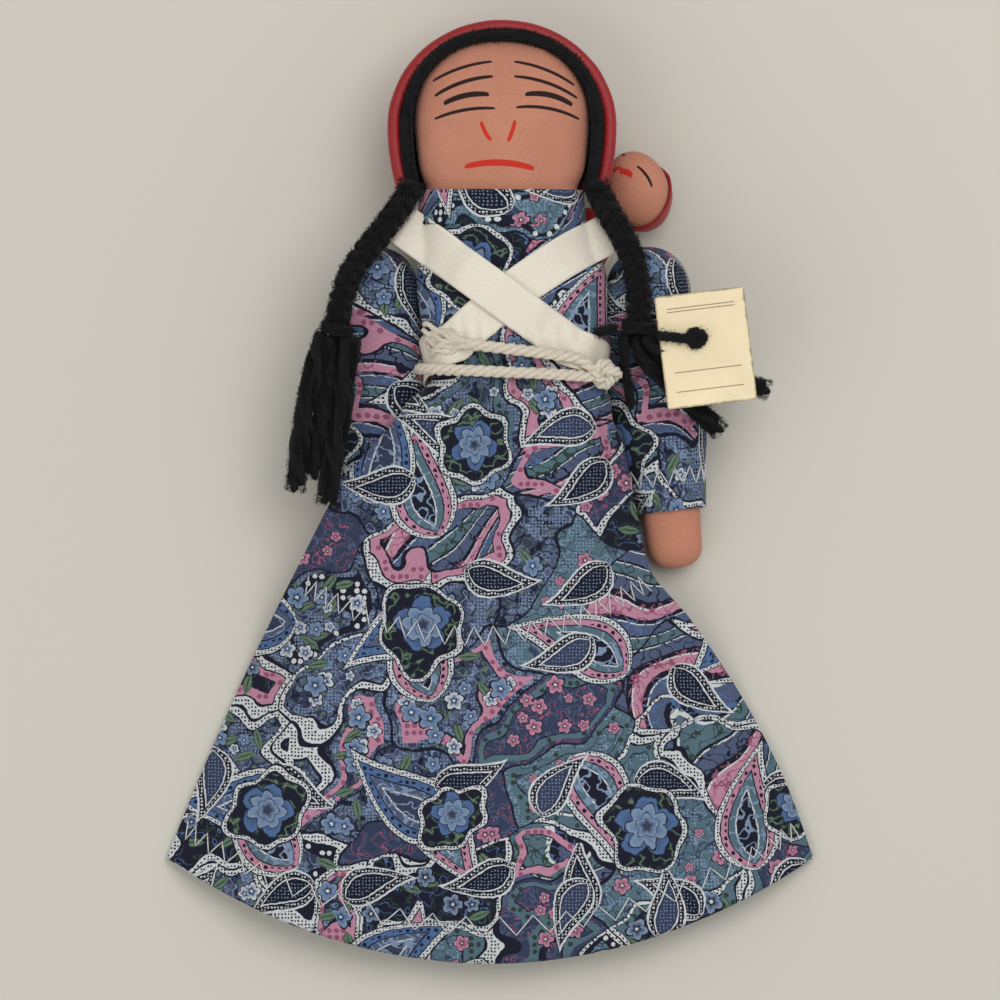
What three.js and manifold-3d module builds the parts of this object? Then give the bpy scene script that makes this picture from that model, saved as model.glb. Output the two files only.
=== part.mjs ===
import * as THREE from "three";
import { mergeVertices } from "three/addons/utils/BufferGeometryUtils.js";
import Module from "manifold-3d";

const wasm = await Module();
wasm.setup();

// A cloth rag doll lying on its back, in millimetres.
// +X is the doll's own left side, +Y its head end, +Z out of its chest.

// Cloth, ribbon, yarn and the gap between pieces that touch
const clothThickness = 1.0;
const skinThickness = 0.8;
const ribbonThickness = 0.8;
const ribbonWidth = 12.7;
const cordDiameter = 3.6;
const clearance = 0.4;
const drapeGap = 0.7;

// Head, hair and hood
const headCentreX = 3.7;
const headWidth = 55;
const headThickness = 34;
const headTopY = 140.6;
const browY = 114;
const jawY = 95.5;
const cheekY = 101;
const cheekWidth = 50.6;
const neckWidth = 44;
const neckDiameter = 27;
const neckY = 93;
const neckPlug = 11;
const hairThickness = 5;
const hairRollDiameter = 4.8;
const hairMatRise = 3.6;
const hoodThickness = 1.2;
const hoodWidth = 71.2;
const hoodTopY = 145.9;
const hoodLowerY = 94.5;
const hoodRimZ = 30;
const hoodDepth = 33;
const hoodRimDraw = 2.6;
const hoodJawDraw = 5.6;

// Torso and dress
const torsoThickness = 25;
const torsoTopY = 84;
const torsoBottomY = 2;
const torsoEase = 1.6;
const neckSideX = 25.4;
const chestSideX = 29.5;
const waistSideX = 26;
const chestY = 64;
const waistY = 41;
const waistCentreX = 8;
const bodiceBlouse = 2.2;
const chestCentreX = 6.9;
const collarHeight = 8.2;
const collarRoom = 2;
const collarEase = 1.4;
const dressTopY = 85.6;
const hemHalfWidth = 100.8;
const hemCornerY = -113;
const hemDrop = 32.5;
const hemCrownZ = 13;
const skirtFullness = 3.6;
const pleatDepth = 2.5;
const pleatReach = 13;
const skirtTuck = 5;
const strapShoulderX = 29.8;
const strapShoulderY = 82.3;
const strapWaistX = 17.5;
const strapWaistY = 48.4;
const beltY = 36.6;
const beltRise = 2.6;
const beltEndY = 41.4;
const beltEndRise = 5.2;
const plyDiameter = 1.3;
const knotLoop = 2.5;
const knotCord = 2.5;

// Arms and sleeves, measured from each shoulder
const shoulderY = 64;
const shoulderZ = 24;
const shoulderTuck = 0.4;
const leftArmSplay = 6;
const rightArmSplay = 3;
const sleeveLength = 69.3;
const armTopY = 6;
const legTopY = 6;
const sleeveTopWidth = 26;
const sleeveElbowWidth = 28.4;
const sleeveCuffWidth = 22;
const sleeveThickness = 21;
const cuffThickness = 18.6;
const cuffDrop = 14.3;
const handLength = 17.8;
const handRound = 6;
const handThickness = 15.2;
const fingertipWidth = 17.2;

// Legs, measured from each hip
const hipY = -4;
const hipZ = 22;
const hipSpacing = 27;
const hipCentreX = 6;
const legLength = 106;
const legTopWidth = 23;
const ankleWidth = 18;
const legTopThickness = 18;
const footThickness = 16;
const footDrop = 11.5;

// Baby, its hood and the carrier cloth under the doll's upper back
const bundleThickness = 13;
const bundleWidth = 25;
const carrierThickness = 1.0;
const babyHeadWidth = 19.2;
const babyHeadLength = 25;
const babyHeadThickness = 20;
const babyHeadX = 46.8;
const babyHeadY = 94.7;

// Braids, ties and tag
const braidDiameter = 8.4;
const tailDiameter = 5;
const tieWire = 2.4;
const tieNip = 0.7;
const tieEndDiameter = 3;
const tagWidth = 28;
const tagLength = 35;
const tagThickness = 0.6;
const tagCorner = 1.2;
const tagHole = 6;
const tagTurn = 7;
const tagTilt = 6;
const tagCentreX = 66.4;
const tagCentreY = 45.4;
const tagZ = 38;
const loopDiameter = 3.2;

// Heights that follow from what lies under the doll
const bundleZ = carrierThickness + clearance + bundleThickness / 2;
const backZ = carrierThickness + clearance + bundleThickness + clearance;
const torsoZ = backZ + clothThickness + clearance + torsoThickness / 2;
const bodiceHalf = torsoZ - backZ;
const headZ = hoodThickness + clearance + hairThickness + clearance + headThickness / 2;
const neckZ = torsoZ;
const skirtSeamZ = 2 * clothThickness + clearance;
const shoulderReach = chestSideX + sleeveTopWidth / 2 - shoulderTuck;
const leftShoulderX = chestCentreX + shoulderReach;
const rightShoulderX = chestCentreX - shoulderReach;
const skirtTopY = waistY - skirtTuck;

const doll = new THREE.Group();
doll.name = "rag_doll";

function point(x, y, z) {
  return new THREE.Vector3(x, y, z);
}

function mix(a, b, share) {
  return a + (b - a) * share;
}

// Share from 0 to 1 as a value passes from one limit to the other
function ramp(from, to, value) {
  return THREE.MathUtils.smoothstep((value - from) / (to - from), 0, 1);
}

// Smooth curve through [place, value] stations, with no overshoot between them
function curveThrough(stations) {
  const rows = [...stations].sort((a, b) => a[0] - b[0]);
  const last = rows.length - 1;
  const rise = (i) => (rows[i + 1][1] - rows[i][1]) / (rows[i + 1][0] - rows[i][0]);
  function slope(i) {
    if (i === 0) return rise(0);
    if (i === last) return rise(last - 1);
    const before = rise(i - 1);
    const after = rise(i);
    return before * after <= 0 ? 0 : (2 * before * after) / (before + after);
  }
  return (place) => {
    const at = THREE.MathUtils.clamp(place, rows[0][0], rows[last][0]);
    const next = rows.findIndex((row, i) => i > 0 && at <= row[0]);
    const span = rows[next][0] - rows[next - 1][0];
    const t = (at - rows[next - 1][0]) / span;
    const back = (1 - t) ** 2;
    const start = rows[next - 1][1] * (1 + 2 * t) * back + span * slope(next - 1) * t * back;
    const end = rows[next][1] * t * t * (3 - 2 * t) + span * slope(next) * t * t * (t - 1);
    return start + end;
  };
}

// Indexed geometry from points and triangles, turned to face outwards
function closedGeometry(points, faces) {
  let volume = 0;
  for (const [a, b, c] of faces) volume += points[a].dot(points[b].clone().cross(points[c]));
  const order = volume < 0 ? faces.map(([a, b, c]) => [a, c, b]) : faces;
  const geometry = new THREE.BufferGeometry().setFromPoints(points);
  geometry.setIndex(order.flat());
  return geometry;
}

// Closed surface through rings of equal count, with a fan over each end
function loft(rings) {
  const sides = rings[0].length;
  const points = rings.flat();
  const faces = [];
  for (let i = 0; i < rings.length - 1; i += 1) {
    for (let j = 0; j < sides; j += 1) {
      const a = i * sides + j;
      const b = i * sides + ((j + 1) % sides);
      faces.push([a, b, b + sides], [a, b + sides, a + sides]);
    }
  }
  for (const end of [0, rings.length - 1]) {
    const middle = rings[end].reduce((sum, p) => sum.add(p), point(0, 0, 0)).divideScalar(sides);
    const centre = points.push(middle) - 1;
    for (let j = 0; j < sides; j += 1) {
      const a = end * sides + j;
      const b = end * sides + ((j + 1) % sides);
      faces.push(end === 0 ? [centre, b, a] : [centre, a, b]);
    }
  }
  return closedGeometry(points, faces);
}

// Cloth of one thickness whose outer face is a grid of points
function sheet(grid, thickness, inward) {
  const rows = grid.length;
  const columns = grid[0].length;
  const inner = grid.map((row, i) => row.map((p, j) => {
    const along = grid[Math.min(i + 1, rows - 1)][j].clone().sub(grid[Math.max(i - 1, 0)][j]);
    const across = row[Math.min(j + 1, columns - 1)].clone().sub(row[Math.max(j - 1, 0)]);
    return p.clone().addScaledVector(along.cross(across).normalize(), inward * thickness);
  }));
  const points = [...grid.flat(), ...inner.flat()];
  const faces = [];
  const under = rows * columns;
  for (let i = 0; i < rows - 1; i += 1) {
    for (let j = 0; j < columns - 1; j += 1) {
      const a = i * columns + j;
      const b = a + 1;
      const c = a + columns;
      const d = c + 1;
      faces.push([a, b, d], [a, d, c], [under + a, under + d, under + b], [under + a, under + c, under + d]);
    }
  }
  const rim = [];
  for (let j = 0; j < columns; j += 1) rim.push(j);
  for (let i = 1; i < rows; i += 1) rim.push(i * columns + columns - 1);
  for (let j = columns - 2; j >= 0; j -= 1) rim.push((rows - 1) * columns + j);
  for (let i = rows - 2; i > 0; i -= 1) rim.push(i * columns);
  rim.forEach((a, k) => {
    const b = rim[(k + 1) % rim.length];
    faces.push([b, a, under + a], [b, under + a, under + b]);
  });
  return closedGeometry(points, faces);
}

function solid(geometry) {
  const bare = new THREE.BufferGeometry();
  bare.setAttribute("position", geometry.getAttribute("position"));
  if (geometry.index) bare.setIndex(geometry.index);
  const merged = mergeVertices(bare, 1e-4);
  const vertProperties = new Float32Array(merged.getAttribute("position").array);
  const triVerts = new Uint32Array(merged.index.array);
  return new wasm.Manifold(new wasm.Mesh({ numProp: 3, vertProperties, triVerts }));
}

function geometryOf(body) {
  const mesh = body.getMesh();
  const geometry = new THREE.BufferGeometry();
  geometry.setAttribute("position", new THREE.BufferAttribute(mesh.vertProperties, 3));
  geometry.setIndex(new THREE.BufferAttribute(mesh.triVerts, 1));
  return geometry;
}

function cut(geometry, ...tools) {
  return geometryOf(tools.reduce((body, tool) => body.subtract(solid(tool)), solid(geometry)));
}

function piece(parent, name, geometry, colour) {
  const finish = new THREE.MeshStandardMaterial({ color: colour, roughness: 0.9 });
  const mesh = new THREE.Mesh(geometry, finish);
  mesh.name = name;
  parent.add(mesh);
}

const skinColour = "#bb7d63";
const fillingColour = "#e6e1d6";
const printColour = "#646a80";
const redColour = "#9a3033";
const yarnColour = "#1c1c1e";
const ribbonColour = "#e4dcca";
const cordColour = "#d3c6b0";
const paperColour = "#e8d7b1";

// Flat oval ring round a limb that runs along Y
function oval(centre, halfWidth, halfDepth, sides, squareness = 2) {
  const ring = [];
  for (let k = 0; k < sides; k += 1) {
    const angle = (2 * Math.PI * k) / sides;
    const bulge = (value) => Math.sign(value) * Math.abs(value) ** (2 / squareness);
    const x = centre.x + halfWidth * bulge(Math.cos(angle));
    const z = centre.z + halfDepth * bulge(Math.sin(angle));
    ring.push(point(x, centre.y, z));
  }
  return ring;
}

// Rings of a bag that is open at its sewn end and rounded at its tip
function bagRings(bag, inset, overrun) {
  const way = Math.sign(bag.tipY - bag.sewnY);
  const round = bag.tipLength - inset;
  const bend = bag.tipY - way * bag.tipLength;
  const places = overrun ? [bag.sewnY - way * overrun] : [];
  for (let i = 0; i <= bag.steps; i += 1) places.push(mix(bag.sewnY, bend, i / bag.steps));
  const tipSteps = 4;
  const lastAngle = (Math.PI / 2) * 0.9;
  for (let i = 1; i <= tipSteps; i += 1) {
    places.push(bend + way * round * Math.sin((lastAngle * i) / tipSteps));
  }
  return places.map((y) => {
    const into = Math.max(0, (way * (y - bend)) / round);
    const taper = Math.sqrt(1 - into * into);
    const centre = point(bag.centreX(y), y, bag.centreZ(y));
    const halfWidth = (bag.halfWidth(y) - inset) * taper;
    const halfDepth = (bag.halfDepth(y) - inset) * taper;
    return oval(centre, halfWidth, halfDepth, bag.sides, bag.squareness);
  });
}

// Cloth skin of a bag, with its mouth open at the sewn end
function bagSkin(bag, thickness) {
  return cut(loft(bagRings(bag, 0, 0)), loft(bagRings(bag, thickness, thickness)));
}

function bagFilling(bag) {
  return loft(bagRings(bag, skinThickness + clearance, 0));
}

// Round bar along an axis, for seats that a hinge turns in
function seatCutter(radius, length, centre, turn) {
  const bar = new THREE.CylinderGeometry(radius, radius, length, 36);
  bar.rotateX(turn.x);
  bar.rotateZ(turn.z);
  bar.translate(centre.x, centre.y, centre.z);
  return bar;
}

// Tapered round body swept along a smooth path, with rounded ends
function sweep(path, halfWidth, halfDepth, steps, sides) {
  const curve = new THREE.CatmullRomCurve3(path);
  const up = point(0, 0, 1);
  const rings = [];
  for (let i = 0; i <= steps; i += 1) {
    const share = 0.5 - 0.5 * Math.cos((Math.PI * i) / steps);
    const t = mix(0.004, 0.996, mix(i / steps, share, 0.5));
    const centre = curve.getPointAt(t);
    const along = curve.getTangentAt(t);
    const across = along.clone().cross(up).normalize();
    const over = across.clone().cross(along).normalize();
    const ring = [];
    for (let k = 0; k < sides; k += 1) {
      const angle = (2 * Math.PI * k) / sides;
      const side = across.clone().multiplyScalar(halfWidth(t) * Math.cos(angle));
      ring.push(centre.clone().add(side).addScaledVector(over, halfDepth(t) * Math.sin(angle)));
    }
    rings.push(ring);
  }
  return loft(rings);
}

// Half size along a swept body that is rounded over its last stretch at both ends
function rounded(size, length, startRound, endRound) {
  return (t) => {
    const start = Math.min(1, (t * length) / startRound);
    const end = Math.min(1, ((1 - t) * length) / endRound);
    const fall = (share) => Math.sqrt(1 - (1 - share) ** 2);
    return size(t) * fall(start) * fall(end);
  };
}

function cordTube(path, diameter, steps, sides) {
  const outline = new THREE.Shape();
  outline.absarc(0, 0, diameter / 2, 0, 2 * Math.PI);
  const extrudePath = new THREE.CatmullRomCurve3(path);
  const options = { steps, extrudePath, curveSegments: sides, bevelEnabled: false };
  return new THREE.ExtrudeGeometry(outline, options);
}

// Torso: the middle line leans from the neck to the belted waist
const bodyCentreX = curveThrough([
  [dressTopY, headCentreX + 0.5],
  [chestY, chestCentreX],
  [waistY, waistCentreX],
  [torsoBottomY, hipCentreX],
]);
const bodySideX = curveThrough([
  [dressTopY, neckSideX],
  [chestY, chestSideX],
  [waistY + 10, waistSideX + bodiceBlouse],
  [waistY - 2, waistSideX],
  [waistY - 6, waistSideX],
  [torsoBottomY, waistSideX + 2],
]);
const torso = {
  sewnY: torsoTopY,
  tipY: torsoBottomY,
  tipLength: 9,
  steps: 6,
  sides: 16,
  squareness: 2,
  centreX: bodyCentreX,
  centreZ: curveThrough([[waistY, torsoZ], [torsoBottomY, torsoZ - 3.2]]),
  halfWidth: (y) => bodySideX(y) - clothThickness - torsoEase,
  halfDepth: curveThrough([[waistY, torsoThickness / 2], [torsoBottomY, torsoThickness / 2 - 1.5]]),
};
const neckSeat = seatCutter(
  neckDiameter / 2 + clearance,
  2 * headWidth,
  point(headCentreX, neckY, neckZ),
  { x: 0, z: Math.PI / 2 },
);
const hips = [hipCentreX + hipSpacing / 2, hipCentreX - hipSpacing / 2];
const hipSeatRadius = legTopWidth / 2 + clearance;
const hipSeats = hips.map((x) => {
  return seatCutter(hipSeatRadius, 4 * torsoThickness, point(x, hipY, hipZ), { x: Math.PI / 2, z: 0 });
});
piece(doll, "torso_cloth", cut(bagSkin(torso, skinThickness), neckSeat, ...hipSeats), skinColour);
piece(doll, "torso_filling", cut(bagFilling(torso), neckSeat, ...hipSeats), fillingColour);

// Head: a round-topped bag whose neck is a plug about the nod axis
const head = {
  sewnY: neckY - neckPlug,
  tipY: headTopY,
  tipLength: headTopY - browY,
  steps: 6,
  sides: 18,
  squareness: 2.3,
  centreX: () => headCentreX,
  centreZ: curveThrough([[neckY, neckZ], [browY, headZ]]),
  halfWidth: curveThrough([[jawY, neckWidth / 2], [cheekY, cheekWidth / 2], [browY, headWidth / 2]]),
  halfDepth: (y) => {
    if (y > neckY) return mix(neckDiameter / 2, headThickness / 2, ramp(neckY, browY, y));
    return Math.sqrt((neckDiameter / 2) ** 2 - (neckY - y) ** 2);
  },
};
const headGroup = new THREE.Group();
headGroup.name = "head_group";
doll.add(headGroup);
piece(headGroup, "head_cloth", bagSkin(head, skinThickness), skinColour);
piece(headGroup, "head_filling", bagFilling(head), fillingColour);

// Arch outline of the hood at one height: a round top, and sides that close in to the jaw
function archRing(z, halfWidth, topY, lowerY) {
  const rim = hoodRimDraw * ramp(hoodRimZ - 10, hoodRimZ, z);
  const top = topY - 0.35 * rim - browY;
  const side = [];
  for (const share of [1, 0.7, 0.35]) {
    const y = mix(browY, lowerY, share);
    const down = (browY - y) / (browY - hoodLowerY);
    side.push([halfWidth - rim - (hoodJawDraw - rim) * down * down, y]);
  }
  const ring = side.map(([half, y]) => point(headCentreX + half, y, z));
  const steps = 16;
  for (let k = 0; k <= steps; k += 1) {
    const angle = (Math.PI * k) / steps;
    ring.push(point(headCentreX + (halfWidth - rim) * Math.cos(angle), browY + top * Math.sin(angle), z));
  }
  side.reverse().forEach(([half, y]) => ring.push(point(headCentreX - half, y, z)));
  return ring;
}

// Solid of the hood's shape, drawn in by an inset and run past its rim and lower edge
function hoodBody(inset, rimZ, lowerY) {
  const rings = [];
  const steps = 7;
  for (let i = 0; i <= steps; i += 1) {
    const z = mix(inset, rimZ, i / steps);
    const swell = Math.sqrt(1 - (Math.max(0, hoodRimZ - 3 - (z - inset)) / hoodDepth) ** 2);
    const halfWidth = (hoodWidth / 2) * swell - inset;
    const topY = mix(browY, hoodTopY, swell) - inset;
    rings.push(archRing(z, halfWidth, topY, lowerY));
  }
  return loft(rings);
}
const hood = cut(
  hoodBody(0, hoodRimZ, hoodLowerY),
  hoodBody(hoodThickness, hoodRimZ + hoodThickness, hoodLowerY - hoodThickness),
);
piece(headGroup, "hood", hood, redColour);

// Hair: a yarn mat under the hood and a yarn roll round the face
const rollRadius = hairRollDiameter / 2;
const rollZ = hoodRimZ + 1.7;
const rollSide = hoodWidth / 2 - hoodRimDraw - hoodThickness - rollRadius;
const rollTopY = hoodTopY - 0.35 * hoodRimDraw - hoodThickness - rollRadius;
const rollEnd = 0.14 * Math.PI;
const rollEndY = neckY + clearance;
const rollRings = [];
const rollSteps = 22;
for (let i = 0; i <= rollSteps; i += 1) {
  const angle = mix(-rollEnd, Math.PI + rollEnd, i / rollSteps);
  const lift = Math.sin(angle) > 0 ? rollTopY - browY : (browY - rollEndY) / Math.sin(rollEnd);
  const out = point(Math.cos(angle), Math.sin(angle), 0);
  const centre = point(headCentreX + rollSide * out.x, browY + lift * out.y, rollZ);
  const ring = [];
  for (let k = 0; k < 8; k += 1) {
    const turn = (2 * Math.PI * k) / 8;
    const reach = out.clone().multiplyScalar(rollRadius * Math.cos(turn));
    ring.push(centre.clone().add(reach).add(point(0, 0, rollRadius * Math.sin(turn))));
  }
  rollRings.push(ring);
}
const bareHead = { ...head, sewnY: hoodLowerY - 2 * hoodThickness };
const headRoom = loft(bagRings(bareHead, -clearance, 2 * hoodThickness));
const hairRoll = cut(loft(rollRings), headRoom);
piece(headGroup, "hair_roll", hairRoll, yarnColour);
const matInset = hoodThickness + clearance;
const hairMat = cut(
  hoodBody(matInset, rollZ - rollRadius - 2 * clearance, hoodLowerY + hairMatRise),
  headRoom,
);
piece(headGroup, "hair_mat", hairMat, yarnColour);

// Collar band round the neck
const collar = {
  sewnY: dressTopY + clearance,
  tipY: dressTopY + clearance + collarHeight,
  half: neckWidth / 2 + collarEase + clothThickness,
  deep: neckDiameter / 2 + collarRoom + clothThickness,
};
function collarBody(inset) {
  const ends = [collar.sewnY - inset, collar.tipY + inset];
  return loft(ends.map((y) => {
    return oval(point(headCentreX, y, neckZ), collar.half - inset, collar.deep - inset, 24, head.squareness);
  }));
}
piece(doll, "collar", cut(collarBody(0), collarBody(clothThickness)), printColour);

// Dress: a front and a back panel from the collar to the hem, seamed at the sides
// Stations of the skirt, as [share of the way down, share of the way to the hem's value]
function skirtStations(length, top, bottom, shares) {
  return shares.map(([down, share]) => [skirtTopY - length * down, mix(top, bottom, share)]);
}
const sideLength = skirtTopY - hemCornerY;
const frontLength = sideLength + hemDrop;
const rightFlare = [
  [0, 0],
  [0.054, 0.082],
  [0.208, 0.326],
  [0.376, 0.49],
  [0.624, 0.711],
  [0.852, 0.892],
  [1, 1],
];
const leftFlare = [
  [0, 0],
  [0.141, 0.109],
  [0.275, 0.172],
  [0.389, 0.229],
  [0.503, 0.43],
  [0.685, 0.695],
  [0.852, 0.881],
  [1, 1],
];
const rightFall = [
  [0, 0],
  [0.054, -0.057],
  [0.208, 0.088],
  [0.295, 0.232],
  [0.376, 0.346],
  [0.47, 0.635],
  [0.577, 0.92],
  [0.671, 1],
];
const leftFall = [[0, 0], [0.141, 0.179], [0.275, 0.369], [0.389, 0.521], [0.51, 0.749], [0.671, 1]];
const crownFall = [
  [0, 0],
  [0.088, 0.034],
  [0.199, 0.155],
  [0.364, 0.375],
  [0.53, 0.51],
  [0.695, 0.608],
  [0.85, 0.713],
  [1, 1],
];
const backFall = [[0, 0], [0.107, 0.189], [0.208, 0.351], [0.322, 0.608], [0.43, 0.865], [0.544, 1]];
const rightSide = curveThrough([
  [dressTopY, bodyCentreX(dressTopY) - neckSideX],
  [chestY, bodyCentreX(chestY) - chestSideX],
  [waistY + 10, bodyCentreX(waistY + 10) - bodySideX(waistY + 10)],
  ...skirtStations(sideLength, waistCentreX - waistSideX, -hemHalfWidth, rightFlare),
]);
const leftSide = curveThrough([
  [dressTopY, bodyCentreX(dressTopY) + neckSideX],
  [chestY, bodyCentreX(chestY) + chestSideX],
  [waistY + 10, bodyCentreX(waistY + 10) + bodySideX(waistY + 10)],
  ...skirtStations(sideLength, waistCentreX + waistSideX, hemHalfWidth, leftFlare),
]);
const rightSeamZ = curveThrough(skirtStations(sideLength, torsoZ, skirtSeamZ, rightFall));
const leftSeamZ = curveThrough(skirtStations(sideLength, torsoZ, skirtSeamZ, leftFall));
const frontCrown = curveThrough(skirtStations(frontLength, torsoZ + bodiceHalf, hemCrownZ, crownFall));
const backLow = curveThrough(skirtStations(sideLength, backZ, 0, backFall));

const skirtLiftX = hips[1] - legTopWidth / 2 - clearance;
const skirtLiftRun = 5.5;

// Point of the dress at a share across (-1 to 1) and a share down (0 to 1)
function dressPlace(across, down) {
  const sideY = mix(dressTopY, hemCornerY, down);
  const y = mix(dressTopY, hemCornerY - hemDrop * (1 - across * across), down);
  const x = mix(rightSide(sideY), leftSide(sideY), (across + 1) / 2);
  const seam = mix(rightSeamZ(sideY), leftSeamZ(sideY), (across + 1) / 2);
  const skirt = ramp(waistY - 4, waistY - 30, sideY);
  const arc = Math.sqrt(Math.max(0, 1 - across * across));
  return { x, y, seam, skirt, arc, sideY };
}

// Soft pleats of the skirt's front: a line down the cloth each, and its share of the full depth
const pleats = [
  { line: curveThrough([[0, -44], [-40, -66], [-85, -78], [-130, -82]]), share: 1 },
  { line: curveThrough([[20, -11], [-8, -16.5], [-45, -18], [-120, -21]]), share: 0.8 },
  { line: curveThrough([[20, 15], [-40, 22], [-130, 27]]), share: 0.5 },
  { line: curveThrough([[-10, 46], [-45, 58], [-130, 64]]), share: 1 },
];
function pleatFall(x, y) {
  return pleats.reduce((sum, { line, share }) => {
    return sum + share * (1 - ramp(0, pleatReach, Math.abs(x - line(y))));
  }, 0);
}

function dressFront(across, down) {
  const { x, y, seam, skirt, arc, sideY } = dressPlace(across, down);
  const crown = mix(arc, 1 - Math.abs(across) ** skirtFullness, skirt);
  const deep = pleatDepth * ramp(waistY - 6, waistY - 50, sideY) * (1 - across ** 6);
  return point(x, y, mix(seam, frontCrown(y), crown) - deep * pleatFall(x, y));
}

function dressBack(across, down) {
  const { x, y, seam, skirt, arc, sideY } = dressPlace(across, down);
  const edge = seam - mix(clearance, skirtSeamZ, skirt);
  const overArm = ramp(skirtLiftX, skirtLiftX - skirtLiftRun, x) * ramp(-48, -26, y);
  const sag = mix(1 - arc, Math.max(overArm, Math.abs(across) ** 5), skirt);
  return point(x, y, mix(backLow(mix(y, sideY, 0.25)), edge, sag));
}

function dressPanel(face, inward) {
  const rows = [];
  const rowCount = 18;
  const columnCount = 22;
  for (let i = 0; i < rowCount; i += 1) {
    const row = [];
    for (let j = 0; j < columnCount; j += 1) {
      const across = Math.sin((Math.PI / 2) * mix(-1, 1, j / (columnCount - 1)));
      row.push(face(across, i / (rowCount - 1)));
    }
    rows.push(row);
  }
  return sheet(rows, clothThickness, inward);
}
piece(doll, "dress_front", dressPanel(dressFront, -1), printColour);
piece(doll, "dress_back", dressPanel(dressBack, 1), printColour);

// Arms: a stuffed arm inside a sleeve whose cap is round about the shoulder
const sleeveHalf = curveThrough([
  [0, sleeveTopWidth / 2],
  [-0.47 * sleeveLength, sleeveElbowWidth / 2],
  [-sleeveLength, sleeveCuffWidth / 2],
]);
const sleeveDeep = curveThrough([[0, sleeveThickness / 2], [-sleeveLength, cuffThickness / 2]]);
const armZ = (y) => (cuffDrop / sleeveLength) * Math.min(y, 0);
const armRoom = clothThickness + clearance;
const sleeve = {
  sewnY: -sleeveLength,
  tipY: sleeveTopWidth / 2,
  tipLength: sleeveTopWidth / 2,
  steps: 7,
  sides: 15,
  squareness: 2,
  centreX: () => 0,
  centreZ: armZ,
  halfWidth: sleeveHalf,
  halfDepth: sleeveDeep,
};
const armTopHalf = Math.sqrt((sleeveTopWidth / 2) ** 2 - armTopY ** 2) - armRoom - 0.6;
const arm = {
  sewnY: armTopY,
  tipY: -sleeveLength - handLength,
  tipLength: handRound,
  steps: 6,
  sides: 12,
  squareness: 2.2,
  centreX: () => 0,
  centreZ: armZ,
  halfWidth: curveThrough([
    [armTopY, armTopHalf],
    [-0.5 * sleeveLength, sleeveCuffWidth / 2 - armRoom],
    [-sleeveLength, sleeveCuffWidth / 2 - armRoom - 0.2],
    [-sleeveLength - handLength, fingertipWidth / 2],
  ]),
  halfDepth: curveThrough([
    [armTopY, sleeveThickness / 2 - armRoom - 1.6],
    [-sleeveLength, cuffThickness / 2 - armRoom - 0.2],
    [-sleeveLength - handLength, handThickness / 2 - 1],
  ]),
};
const arms = [
  { side: "left", x: leftShoulderX, splay: leftArmSplay },
  { side: "right", x: rightShoulderX, splay: -rightArmSplay },
];
for (const { side, x, splay } of arms) {
  const shoulder = new THREE.Group();
  shoulder.name = `${side}_shoulder`;
  shoulder.position.set(x, shoulderY, shoulderZ);
  shoulder.rotation.z = THREE.MathUtils.degToRad(splay);
  doll.add(shoulder);
  piece(shoulder, `${side}_arm_cloth`, bagSkin(arm, skinThickness), skinColour);
  piece(shoulder, `${side}_arm_filling`, bagFilling(arm), fillingColour);
  piece(shoulder, `${side}_sleeve`, bagSkin(sleeve, clothThickness), printColour);
}

// Legs, inside the skirt, with a top that is round about the hip
const leg = {
  sewnY: legTopY,
  tipY: -legLength,
  tipLength: 10,
  steps: 6,
  sides: 12,
  squareness: 2,
  centreX: () => 0,
  centreZ: (y) => (footDrop / legLength) * Math.min(y, 0) * (1.6 + (0.6 * y) / legLength),
  halfWidth: (y) => {
    if (y > 0) return Math.sqrt((legTopWidth / 2) ** 2 - y * y);
    return mix(legTopWidth / 2, ankleWidth / 2, ramp(0, -legLength, y));
  },
  halfDepth: curveThrough([[0, legTopThickness / 2], [-legLength, footThickness / 2]]),
};
["left", "right"].forEach((side, i) => {
  const hip = new THREE.Group();
  hip.name = `${side}_hip`;
  hip.position.set(hips[i], hipY, hipZ);
  doll.add(hip);
  piece(hip, `${side}_leg_cloth`, bagSkin(leg, skinThickness), skinColour);
  piece(hip, `${side}_leg_filling`, bagFilling(leg), fillingColour);
});

// Baby: a wrapped body in a carrier cloth, and a head in a small hood
const bundlePath = [
  point(14, 49, bundleZ),
  point(16, 60, bundleZ),
  point(21, 71, bundleZ),
  point(29.6, 80.4, bundleZ),
  point(37.4, 87.2, bundleZ),
];
const bundleLength = new THREE.CatmullRomCurve3(bundlePath).getLength();
const bundleTaper = curveThrough([[0, 0.9], [0.45, 1], [1, 0.5]]);
const bundleHalf = rounded((t) => (bundleWidth / 2) * bundleTaper(t), bundleLength, 9, 7);
const bundleFlat = (t) => (bundleThickness / 2) * mix(1, bundleTaper(t), 0.4);
const bundleDeep = rounded(bundleFlat, bundleLength, 9, 7);
piece(doll, "baby_body", sweep(bundlePath, bundleHalf, bundleDeep, 12, 14), redColour);

// Cloth cradle under the bundle, clear of it by the same gap all round
function carrierGrid() {
  const curve = new THREE.CatmullRomCurve3(bundlePath);
  const room = clearance + carrierThickness;
  const rows = [];
  for (let i = 0; i <= 10; i += 1) {
    const t = mix(0.1, 0.86, i / 10);
    const centre = curve.getPointAt(t);
    const across = curve.getTangentAt(t).cross(point(0, 0, 1)).normalize();
    const row = [];
    for (let j = 0; j <= 12; j += 1) {
      const angle = mix(1.06, 1.94, j / 12) * Math.PI;
      const side = across.clone().multiplyScalar((bundleHalf(t) + room) * Math.cos(angle));
      const depth = (bundleThickness / 2 + room) * Math.sin(angle);
      row.push(centre.clone().add(side).add(point(0, 0, depth)));
    }
    rows.push(row);
  }
  return rows;
}
piece(doll, "carrier", sheet(carrierGrid(), carrierThickness, -1), ribbonColour);

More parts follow.
